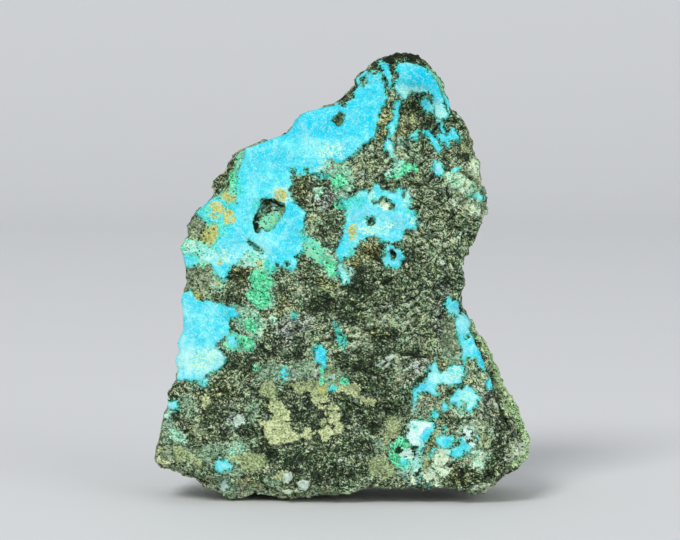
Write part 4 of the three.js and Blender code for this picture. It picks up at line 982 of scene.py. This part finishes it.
def foldedLayers(shape):
    # bands of folded layers across the middle
    bend = 9 * softNoise(points, 13, 19) + 4 * softNoise(points, 5, 21)
    phase = (grid[:, 1] + 0.42 * grid[:, 0] + bend) / shape["foldWidth"]
    waves = (np.abs(np.sin(phase)) - 0.6) * (0.6 + 0.6 * softNoise(points, 5, 23))
    return shape["foldHeight"] * softSpots(grid, foldedPlaces) * waves


def sideLayers(shape):
    # broken edges of the layers round the sides, each standing out or falling back by its own amount
    depth = points[:, 1] + 1.2 * softNoise(points, 9, 29) + 0.3 * softNoise(points, 2.5, 30)
    sheet = depth / shape["layer"]
    stands = np.random.default_rng(37).uniform(-1, 0.5, 128)
    layer = np.floor(sheet).astype(int) % len(stands)
    split = np.abs(sheet - np.round(sheet))
    uneven = stands[layer] * (0.6 + 0.5 * softNoise(points, 7, 33)) - 1.2 * step(0.14, 0.0, split)
    return shape["layerDepth"] * edge * uneven


def cutsAndPlates(shape):
    # grooves, loose plates, pits and bare holes in the crust, all on the front
    height = np.zeros(len(points))
    for line, halfWidth, depth in grooves.values():
        height -= depth * np.exp(-(awayFrom(grid + 0.8 * wander, line) / halfWidth) ** 2)
    for outline, rise in chips.values():
        height += rise * step(-0.8, 0.8, insideOf(grid, outline))
    pits = insideAny(ragged, {name: cyanHoles[name] for name in ("pit", "topPit")})
    height -= shape["pitDepth"] * step(-1, 4, pits) + shape["holeDepth"] * step(-1, 1, crustHoles)
    return front * height


def shapeSlab(shape):
    crust = step(-0.8, 1.2, finishes["cyan"])
    film = step(-0.8, 1.2, np.max([finishes[name] for name in ("cream", "ochre", "tan", "teal")], axis=0))
    height = brokenGrains(shape, crust, film)
    height += (foldedLayers(shape) + sideLayers(shape) + shape["filmHeight"] * film) * (1 - crust)
    height += (shape["crustHeight"] + shape["crustGrain"] * layeredNoise(points, 1.5, 83)
               + shape["crustDents"] * softNoise(points, 6, 89)) * crust
    height += cutsAndPlates(shape)
    height += softSpots(grid, outlineSwells) * np.exp(-(points[:, 1] / shape["swellDepth"]) ** 2)
    height -= shape["settle"]
    shaped = points + normals * height[:, None]
    lowest, highest = (np.array(corner) * mmInMetre for corner in cadBox)
    shaped = np.clip(shaped, lowest + shape["clearance"], highest - shape["clearance"])
    writePoints(slab.data, shaped)
    # what lies below its neighbours is a crevice, where shade is painted, and what stands above them a crest,
    # where a highlight is painted
    fineHollow, wideHollow = (np.sum((averageOver(edges, shaped, passes) - shaped) * normals, axis=1)
                              for passes in (2, 14))
    hollow = fineHollow / shape["creviceDepth"] + wideHollow / shape["hollowDepth"]
    return {"crevice": step(0.25, 2.2, hollow), "crest": step(0.25, 2.2, -hollow)}


finishes.update(shapeSlab(slabShape), side=edge)
for name, values in finishes.items():
    layer = slab.data.attributes.new(name, "FLOAT", "POINT")
    layer.data.foreach_set("value", values.astype(np.float32))
print("surface shaped")


class Wire:
    # holds one socket of a material, so that sums and products of sockets read as plain expressions
    def __init__(self, tree, socket=None):
        self.tree = tree
        self.socket = socket

    def node(self, kind, settings=None, sockets=None, output=0):
        made = self.tree.nodes.new(kind)
        for name, value in (settings or {}).items():
            if name == "stops":
                ramp = made.color_ramp.elements
                while len(ramp) < len(value):
                    ramp.new(0.5)
                for element, (position, colour) in zip(ramp, value):
                    element.position = position
                    element.color = (*colour, 1)
            elif name == "interpolation":
                made.color_ramp.interpolation = value
            else:
                setattr(made, name, value)
        for name, value in (sockets or {}).items():
            if isinstance(value, Wire):
                self.tree.links.new(value.socket, made.inputs[name])
            else:
                made.inputs[name].default_value = value
        return Wire(self.tree, made.outputs[output])

    def maths(self, operation, first, second=0.0):
        return self.node("ShaderNodeMath", {"operation": operation}, {0: first, 1: second})

    def __add__(self, other):
        return self.maths("ADD", self, other)

    __radd__ = __add__

    def __sub__(self, other):
        return self.maths("SUBTRACT", self, other)

    def __rsub__(self, other):
        return self.maths("SUBTRACT", other, self)

    def __mul__(self, other):
        return self.maths("MULTIPLY", self, other)

    __rmul__ = __mul__

    def size(self):
        return self.maths("ABSOLUTE", self)

    def most(self, other):
        return self.maths("MAXIMUM", self, other)

    def least(self, other):
        return self.maths("MINIMUM", self, other)

    def between(self, low, high):
        # smooth change from 0 to 1 over a range
        return self.node("ShaderNodeMapRange", {"interpolation_type": "SMOOTHSTEP"},
                         {"Value": self, "From Min": low, "From Max": high})

    def mix(self, first, second, blend="MIX"):
        # the wire is the factor, and the two are colours
        colours = [value if isinstance(value, Wire) else (*value, 1) for value in (first, second)]
        return self.node("ShaderNodeMix", {"data_type": "RGBA", "blend_type": blend},
                         {0: self, 6: colours[0], 7: colours[1]}, 2)

    def vector(self, operation, sockets):
        # the wire is a place or a colour
        return self.node("ShaderNodeVectorMath", {"operation": operation}, {0: self, **sockets})

    def scaled(self, factor):
        return self.vector("SCALE", {"Scale": factor})

    def times(self, other):
        return self.vector("MULTIPLY", {1: other})

    def plus(self, other):
        return self.vector("ADD", {1: other})

    def channel(self, name):
        return self.node("ShaderNodeSeparateColor", {}, {0: self}, name)


# Colours are linear red, green and blue
crustLook = {
    "crust": (0.009, 0.67, 0.84),
    "deepCrust": (0.000, 0.58, 0.80),
    "paleCrust": (0.16, 0.84, 0.88),
    "foldCrust": (0.004, 0.42, 0.56),
    "whiteCrust": (0.54, 0.93, 0.86),
    "whiteMint": (0.72, 0.88, 0.62),
    "shadow": (0.020, 0.030, 0.018),
    "creviceShadow": (0.010, 0.016, 0.011),
    "chip": (0.42, 0.60, 0.46),
    "paleChip": (0.82, 0.95, 0.82),
    # where each colour of fleck begins on the noise
    "flecks": [(0.0, (0.02, 0.03, 0.02)), (0.28, (0.12, 0.15, 0.08)), (0.4, (0.24, 0.34, 0.18)),
               (0.48, (0.42, 0.66, 0.40)), (0.56, (0.14, 0.62, 0.46)), (0.64, (0.20, 0.76, 0.76)),
               (0.74, (0.66, 0.80, 0.66))],
}
# Films of mineral: their two colours, softness of the edge in steps of the drawing, share of holes,
# steps that they grow past their outline, and how strong the painted shade on the rock beside them is
filmLook = {
    "dust": {"thick": (0.12, 0.18, 0.095), "thin": (0.43, 0.53, 0.33), "edge": 1.6, "holes": 0.22},
    "grey": {"thick": (0.085, 0.165, 0.090), "thin": (0.42, 0.62, 0.41), "edge": 3.0, "holes": 0.18},
    "cream": {"thick": (0.29, 0.37, 0.16), "thin": (0.72, 0.79, 0.44), "edge": 1.2, "holes": 0.04,
              "shadeBeside": 0.6},
    "tan": {"thick": (0.16, 0.215, 0.09), "thin": (0.50, 0.61, 0.31), "edge": 2.4, "holes": 0.10},
    "rim": {"thick": (0.19, 0.42, 0.13), "thin": (0.80, 1.0, 0.58), "edge": 1.6, "holes": 0.12,
            "shadeBeside": 0.8},
    "mint": {"thick": (0.13, 0.58, 0.32), "thin": (0.58, 0.94, 0.72), "edge": 3.0, "holes": 0.26},
    "teal": {"thick": (0.11, 0.80, 0.58), "thin": (0.42, 0.84, 0.46), "edge": 2.0, "holes": 0.12},
    "green": {"thick": (0.022, 0.66, 0.27), "thin": (0.30, 0.96, 0.58), "edge": 1.6, "holes": 0.10,
              "grow": 0.3, "shadeBeside": 0.3},
    "milk": {"thick": (0.50, 0.78, 0.50), "thin": (0.92, 1.0, 0.78), "edge": 2.4, "holes": 0.06},
    "bloom": {"thick": (0.22, 0.78, 0.68), "thin": (0.60, 0.91, 0.74), "edge": 5.0, "holes": 0.30},
    "frost": {"thick": (0.46, 0.86, 0.76), "thin": (0.86, 1.0, 0.91), "edge": 1.2, "holes": 0.05},
    "sea": {"thick": (0.012, 0.50, 0.46), "thin": (0.14, 0.80, 0.64), "edge": 3.0, "holes": 0.26},
    "ochre": {"thick": (0.36, 0.38, 0.10), "thin": (0.66, 0.68, 0.24), "edge": 3.0, "holes": 0.14},
}
# The schist itself
rockLook = {
    # tones of the schist, from its darkest grains to its palest
    "stops": [(0.0, (0.012, 0.018, 0.009)), (0.22, (0.034, 0.050, 0.027)), (0.45, (0.088, 0.130, 0.070)),
              (0.70, (0.21, 0.285, 0.17)), (1.0, (0.60, 0.70, 0.50))],
    "brown": (1.35, 1.02, 0.62),   # what the schist's colour is multiplied by
    "violet": (1.12, 1.0, 1.5),
    "grain": 0.62,       # mm
    "smallGrain": 0.40,  # mm
    "flake": 1.3,        # mm
    "plate": 4.0,        # mm, plates of flakes that lie the same way
    "hatch": 0.34,       # mm, width of the streaks on a flake
    "streak": 0.9,       # mm
    "level": 0.39,       # how pale the rock is before anything is added
    # how much each thing lightens or darkens it; crest paints a highlight on raised parts and crevice paints
    # shade in hollows
    "weights": {"flake": 0.12, "plate": 0.20, "grain": 0.06, "smallGrain": 0.16, "fine": 1.7, "hatch": 2.5,
                "forms": 0.9, "medium": 0.5, "wide": 0.3, "layers": 1.6, "pale": 0.32, "dark": -0.32,
                "darkest": -0.3, "crest": 0.14, "crevice": -0.26, "glint": 0.22, "thread": 0.22,
                "crack": -0.28, "curl": -0.24, "flakeGap": -0.14},
    "relief": 0.18,      # mm, height of the finest relief
    "reliefStrength": 0.7,
    "shine": 0.16,
}


def makeMaterial(crust, films, rock):
    material = bpy.data.materials.new("crustedSchist")
    material.use_nodes = True
    tree = material.node_tree
    tree.nodes.clear()
    wire = Wire(tree)
    place = wire.node("ShaderNodeTexCoord", output="Object").scaled(float(mmInMetre))  # mm

    def noise(size, detail=2.0, roughness=0.55, where=place, distortion=0.0, output="Fac"):
        return wire.node("ShaderNodeTexNoise", {},
                         {"Vector": where, "Scale": 1 / size, "Detail": detail, "Roughness": roughness,
                          "Distortion": distortion}, output)

    bent = place.times((1.0, 1.5, 1.25)).plus(noise(0.8, 2.0, 0.5, output="Color").scaled(0.9))

    def cells(size):
        return wire.node("ShaderNodeTexVoronoi", {}, {"Vector": bent, "Scale": 1 / size}, "Color")

    def finish(name):
        return wire.node("ShaderNodeAttribute", {"attribute_type": "GEOMETRY", "attribute_name": name}, {},
                         "Fac")

    fine = noise(0.32, 1.0)
    medium = noise(1.15)
    wide = noise(5.0, 3.0)
    forms = noise(2.6)
    broad = noise(9.0)
    grainCell = cells(rock["grain"])
    smallCell = cells(rock["smallGrain"])
    flakeCell = cells(rock["flake"])
    plateCell = cells(rock["plate"])
    grain, grainKind = grainCell.channel("Red"), grainCell.channel("Green")
    smallGrain, smallKind = smallCell.channel("Red"), smallCell.channel("Green")
    # flakes a few grains wide, each finely hatched in its own direction
    flakeTone = flakeCell.channel("Red")
    turn = 0.9 + (plateCell.channel("Green") - 0.5) * 1.8 + (flakeCell.channel("Green") - 0.5) * 0.9
    turned = wire.node("ShaderNodeVectorRotate", {"rotation_type": "Y_AXIS"}, {"Vector": bent, "Angle": turn})
    turned = turned.times((1.0, 1.0, 0.24))
    hatch = noise(rock["hatch"], 2.0, 0.6, turned)
    flakeGap = wire.node("ShaderNodeTexVoronoi", {"feature": "DISTANCE_TO_EDGE"},
                         {"Vector": bent, "Scale": 1 / rock["flake"]}, "Distance").between(0.0, 0.09)
    # rags the edges of the patches, in steps of the drawing
    tremble = (fine - 0.5) * 3.0 + (medium - 0.5) * 9.0 + (grain - 0.5) * 3.0

    # bare schist: grains of their own brightness with thin dark cracks winding between them
    crack = (noise(rock["streak"], 2.0, 0.6, turned) - 0.5).size().between(0.0, 0.05)
    dark = finish("dark")
    tones = {
        "flake": flakeTone,
        "plate": plateCell.channel("Red") - 0.5,
        "grain": grain,
        "smallGrain": smallGrain,
        "fine": fine - 0.5,
        "hatch": hatch - 0.5,
        "forms": forms - 0.5,
        "medium": medium - 0.5,
        "wide": wide - 0.5,
        "layers": finish("side") * (noise(0.45, 2.0, 0.6, bent.times((0.10, 0.8, 0.10))) - 0.5),
        "pale": (finish("pale") + 0.10 * tremble).between(0.15, 0.75),
        # the dark spots are partly painted shade, in the groove beside the right rim and on the pit's walls
        "dark": (dark + 0.10 * tremble).between(0.15, 0.75),
        "darkest": dark.between(1.1, 1.7),
        # a painted highlight on raised parts and painted shade in hollows
        "crest": finish("crest"),
        "crevice": finish("crevice"),
        "glint": (flakeTone - 0.9).between(0.0, 0.03),
        "thread": (noise(0.9, 2.0, 0.6, turned, 0.8) - 0.5).size().between(0.06, 0.015),
        "crack": 1 - crack,
        "curl": (noise(1.5, 2.0, 0.55, bent, 1.0) - 0.5).size().between(0.04, 0.0),
        "flakeGap": 1 - flakeGap,
    }
    level = rock["level"] + sum(rock["weights"][name] * tone for name, tone in tones.items())
    colour = wire.node("ShaderNodeValToRGB", {"stops": rock["stops"]}, {"Fac": level}, "Color")
    # every few grains lean to green, grey, olive or rust
    hue = noise(2.0, 3.0, 0.5, bent, output="Color")
    hue = hue.vector("MULTIPLY_ADD", {1: (0.6, 0.3, 0.7), 2: (0.68, 0.87, 0.61)})
    grainHue = smallCell.vector("MULTIPLY_ADD", {1: (0.28, 0.10, 0.28), 2: (0.85, 0.96, 0.84)})
    colour = colour.times(hue.times(grainHue))
    for name, kind in (("brown", grain), ("violet", smallGrain)):
        tint = (finish(name) * (0.4 + 0.6 * kind)).least(0.85)
        colour = tint.mix(colour, rock[name], "MULTIPLY")

    masks = {}
    filmShade = 0.7 * (medium - 0.5) + 0.3 * (smallGrain - 0.5) + 1.6 * (fine - 0.5) + 1.8 * (hatch - 0.5)
    filmShade = filmShade.between(-0.28, 0.28)

    def lay(under, *names):
        # films of mineral, one after the other, over what is already there
        for name in names:
            film = films[name]
            border = finish(name) + tremble + film.get("grow", 0.0)
            mask = border.between(-0.5 * film["edge"], 0.5 * film["edge"])
            masks[name] = mask * (smallGrain - film["holes"]).between(-0.05, 0.05)
            # painted shade on the rock, in a thin band just outside the film's edge
            if "shadeBeside" in film:
                under = (border.between(-3.0, -1.0) * film["shadeBeside"]).mix(under, crust["shadow"])
            under = masks[name].mix(under, filmShade.mix(film["thick"], film["thin"]))
        return under

    colour = lay(colour, "dust", "grey", "cream", "tan", "rim")
    # scattered pale, green and blue grains
    speck = (finish("speckled") + tremble).between(-3.0, 3.0) * (grainKind + 0.3 * fine).between(0.3, 0.5)
    flecks = wire.node("ShaderNodeValToRGB", {"stops": crust["flecks"], "interpolation": "CONSTANT"},
                       {"Fac": 0.55 * grain + 0.45 * smallKind}, "Color")
    colour = lay(speck.mix(colour, flecks), "mint")
    whiteSpeck = masks["mint"] * (grainKind + 0.4 * (fine - 0.5)).between(0.76, 0.80)
    colour = lay(whiteSpeck.mix(colour, crust["whiteMint"]), "teal", "green")

    # turquoise crust over everything, with washes of deeper, paler and whiter colour in it
    body = (wide + 0.6 * (medium - 0.5)).between(0.35, 0.68).mix(crust["crust"], crust["paleCrust"])
    clouds = broad + 0.3 * (medium - 0.5)
    grit = fine + 0.3 * smallGrain
    washes = [
        (clouds.between(0.52, 0.38) * 0.45, "deepCrust"),
        (clouds.between(0.54, 0.68) * 0.35, "whiteCrust"),
        ((finish("deep") * (0.6 + 0.9 * (medium - 0.2))).least(1.0), "deepCrust"),
        ((forms - 0.3 * (medium - 0.5)).between(0.44, 0.30) * 0.45, "deepCrust"),
        ((finish("white") * (0.35 + 1.1 * (medium - 0.3))).least(1.0), "whiteCrust"),
        (grit.between(0.64, 0.86) * 0.3, "whiteCrust"),
        (grit.between(0.54, 0.36) * 0.3, "foldCrust"),
        ((forms - 0.5).size().between(0.035, 0.0) * 0.35, "foldCrust"),
        ((noise(3.6, 3.0, 0.6) - 0.5).size().between(0.03, 0.0) * 0.3, "whiteCrust"),
    ]
    for share, wash in washes:
        body = share.mix(body, crust[wash])
    tealEdge = films["teal"]["thick"]
    border = finish("cyan") + 0.85 * tremble
    # a thin band of painted shade on the rock just outside the crust's edge
    colour = (border.between(-2.4, -0.9) * 0.35).mix(colour, crust["shadow"])
    colour = (border.between(-3.4, -0.6) * (smallKind - 0.62).between(-0.03, 0.03)).mix(colour, tealEdge)
    body = (border.between(2.4, 0.2) * 0.6 * smallGrain.between(0.2, 0.6)).mix(body, tealEdge)
    crusted = border.between(-0.4, 0.4) * (smallKind + 0.06 * border).between(0.03, 0.06)
    colour = lay(crusted.mix(colour, body), "milk", "bloom", "frost", "sea", "ochre")

    chipMask = (finish("chip") + (fine - 0.5) * 3.0).between(-0.8, 0.8)
    chipTone = (0.6 * smallGrain + 0.8 * (fine - 0.3)).mix(crust["chip"], crust["paleChip"])
    colour = chipMask.mix(colour, chipTone)
    # painted shade darkens the crevices, less so where a pale film runs into them
    filmed = masks["teal"].most(masks["milk"]).most(masks["bloom"]).most(masks["frost"])
    colour = (finish("crevice") * 0.5 * (1 - 0.8 * filmed)).mix(colour, crust["creviceShadow"])

    crusty = crusted.most(masks["cream"] * 0.6).most(masks["green"] * 0.7)
    roughness = 0.6 + 0.2 * crusty + 0.3 * (smallGrain - 0.5) * (1 - crusty)
    relief = (1 - 0.8 * crusty) * (0.4 * flakeTone + 0.3 * grain + 0.8 * hatch + 0.3 * crack + 0.4 * flakeGap)
    relief = relief + 0.15 * crusty * fine
    bump = wire.node("ShaderNodeBump", {},
                     {"Strength": rock["reliefStrength"], "Distance": rock["relief"] / mmInMetre,
                      "Height": relief}, "Normal")
    shader = wire.node("ShaderNodeBsdfPrincipled", {},
                       {"Base Color": colour, "Roughness": roughness, "Normal": bump,
                        "Specular IOR Level": rock["shine"]}, "BSDF")
    end = tree.nodes.new("ShaderNodeOutputMaterial")
    tree.links.new(shader.socket, end.inputs["Surface"])
    return material


# Sheets of the colour map: direction they face, column and row of their corner, size of 1 mm on the map
mapSheets = {
    "front": ((0, -1, 0), (0.006, 0.006), 0.0081),
    "back": ((0, 1, 0), (0.630, 0.006), 0.0048),
    "left": ((-1, 0, 0), (0.630, 0.444), 0.0048),
    "right": ((1, 0, 0), (0.806, 0.444), 0.0048),
    "top": ((0, 0, 1), (0.006, 0.742), 0.0048),
    "bottom": ((0, 0, -1), (0.380, 0.742), 0.0033),
}


def layOutMap(piece, sheets):
    mesh = piece.data
    corners = np.empty(len(mesh.loops), dtype=np.int64)
    mesh.loops.foreach_get("vertex_index", corners)
    points = readPoints(mesh)
    normals = averageOver(readEdges(mesh), readNormals(mesh), 8)
    faceNormals = normals[corners].reshape(-1, 3, 3).sum(1)
    faceNormals[:, 1] *= np.where(faceNormals[:, 1] < 0, 1.4, 1.0)  # the front sheet takes what it can
    directions = np.array([facing for facing, _, _ in sheets.values()])
    chosen = np.argmax(faceNormals @ directions.T, axis=1).repeat(3)
    lowest = points.min(0)
    spread = np.zeros((len(corners), 2))
    for number, (facing, corner, scale) in enumerate(sheets.values()):
        across, up = {0: (1, 2), 1: (0, 2), 2: (0, 1)}[int(np.argmax(np.abs(facing)))]
        here = chosen == number
        placed = (points[corners[here]] - lowest)[:, [across, up]]
        spread[here] = placed * scale + corner
    layer = mesh.uv_layers.new(name="OFBake")
    layer.uv.foreach_set("vector", spread.astype(np.float32).ravel())


layOutMap(slab, mapSheets)
slab.data.materials.clear()
slab.data.materials.append(makeMaterial(crustLook, filmLook, rockLook))
slab.data.polygons.foreach_set("use_smooth", np.ones(len(slab.data.polygons), dtype=bool))
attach(slab, "root")
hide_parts("specimen")
print("slab finished")

studio = {
    "paper": (0.80, 0.81, 0.82),
    "fibre": (0.76, 0.77, 0.78),
    "fibreShare": 0.2,
    "fibreScale": 40.0,
    "paperRoughness": 0.9,
    "paperWidth": 8.0,      # m
    "paperFlat": [-4.0, -0.5, 0.3, 1.2],  # m, points along the flat part, from the front to the bend
    "paperRadius": 0.8,     # m
    "paperTop": 4.0,        # m
    "bendSteps": 24,
    "skyColour": (0.95, 0.97, 1.0),
    "skyStrength": 0.42,
    "keyPower": 63.0,       # W
    "keyPlace": (-1.2, -2.4, 2.2),  # m
    "keySize": 1.15,        # m
    "fillPower": 30.0,      # W
    "fillPlace": (2.0, -2.2, 0.7),
    "fillSize": 2.0,
    "sensor": 36,           # mm
    "pictureWidth": 680,    # steps of the drawing that the picture is wide
}


def makePaper(look):
    # one long sheet of paper that lies on the table and rises behind in a bend
    radius = look["paperRadius"]
    line = [(y, 0) for y in look["paperFlat"]]
    turn = line[-1][0]
    for count in range(1, look["bendSteps"] + 1):
        angle = count / look["bendSteps"] * math.pi / 2
        line.append((turn + radius * math.sin(angle), radius * (1 - math.cos(angle))))
    line.append((line[-1][0], look["paperTop"]))
    half = look["paperWidth"] / 2
    corners = [(x, y, z) for y, z in line for x in (-half, half)]
    faces = [(2 * k, 2 * k + 1, 2 * k + 3, 2 * k + 2) for k in range(len(line) - 1)]
    mesh = bpy.data.meshes.new("paperSweep")
    mesh.from_pydata(corners, [], faces)
    mesh.polygons.foreach_set("use_smooth", [True] * len(faces))
    paper = bpy.data.objects.new("paperSweep", mesh)
    bpy.context.scene.collection.objects.link(paper)
    paint = bpy.data.materials.new("palePaper")
    paint.use_nodes = True
    wire = Wire(paint.node_tree)
    place = wire.node("ShaderNodeTexCoord", output="Object")
    fibre = wire.node("ShaderNodeTexNoise", {},
                      {"Vector": place, "Scale": look["fibreScale"], "Detail": 2.0}, "Fac")
    base = paint.node_tree.nodes["Principled BSDF"]
    colour = (fibre * look["fibreShare"]).mix(look["paper"], look["fibre"])
    paint.node_tree.links.new(colour.socket, base.inputs["Base Color"])
    base.inputs["Roughness"].default_value = look["paperRoughness"]
    mesh.materials.append(paint)


def softLight(name, look, target):
    light = bpy.data.lights.new(name + "Light", "AREA")
    light.energy = look[name + "Power"]
    light.size = look[name + "Size"]
    lamp = bpy.data.objects.new(name + "Light", light)
    bpy.context.scene.collection.objects.link(lamp)
    lamp.location = look[name + "Place"]
    away = np.array(look[name + "Place"]) - target
    lamp.rotation_euler = (math.acos(away[2] / np.linalg.norm(away)), 0,
                           math.atan2(away[1], away[0]) + math.pi / 2)


def makeStudio(look):
    scene = bpy.context.scene
    scene.view_settings.view_transform = "Standard"
    makePaper(look)
    scene.world = bpy.data.worlds.new("softSky")
    scene.world.use_nodes = True
    sky = scene.world.node_tree.nodes["Background"].inputs
    sky["Color"].default_value = (*look["skyColour"], 1)
    sky["Strength"].default_value = look["skyStrength"]
    target = np.array(view["target"]) / mmInMetre
    for name in ("key", "fill"):
        softLight(name, look, target)

    lens = bpy.data.cameras.new("camera")
    lens.sensor_width = look["sensor"]
    lens.lens = lens.sensor_width * view["distance"] * view["steps"] / look["pictureWidth"]
    lens.clip_start = 0.01
    camera = bpy.data.objects.new("camera", lens)
    scene.collection.objects.link(camera)
    tilt = math.radians(view["elevation"])
    away = view["distance"] / mmInMetre
    camera.location = target + away * np.array((0, -math.cos(tilt), math.sin(tilt)))
    camera.rotation_euler = (math.pi / 2 - tilt, 0, 0)
    scene.camera = camera


makeStudio(studio)
print("studio set up")
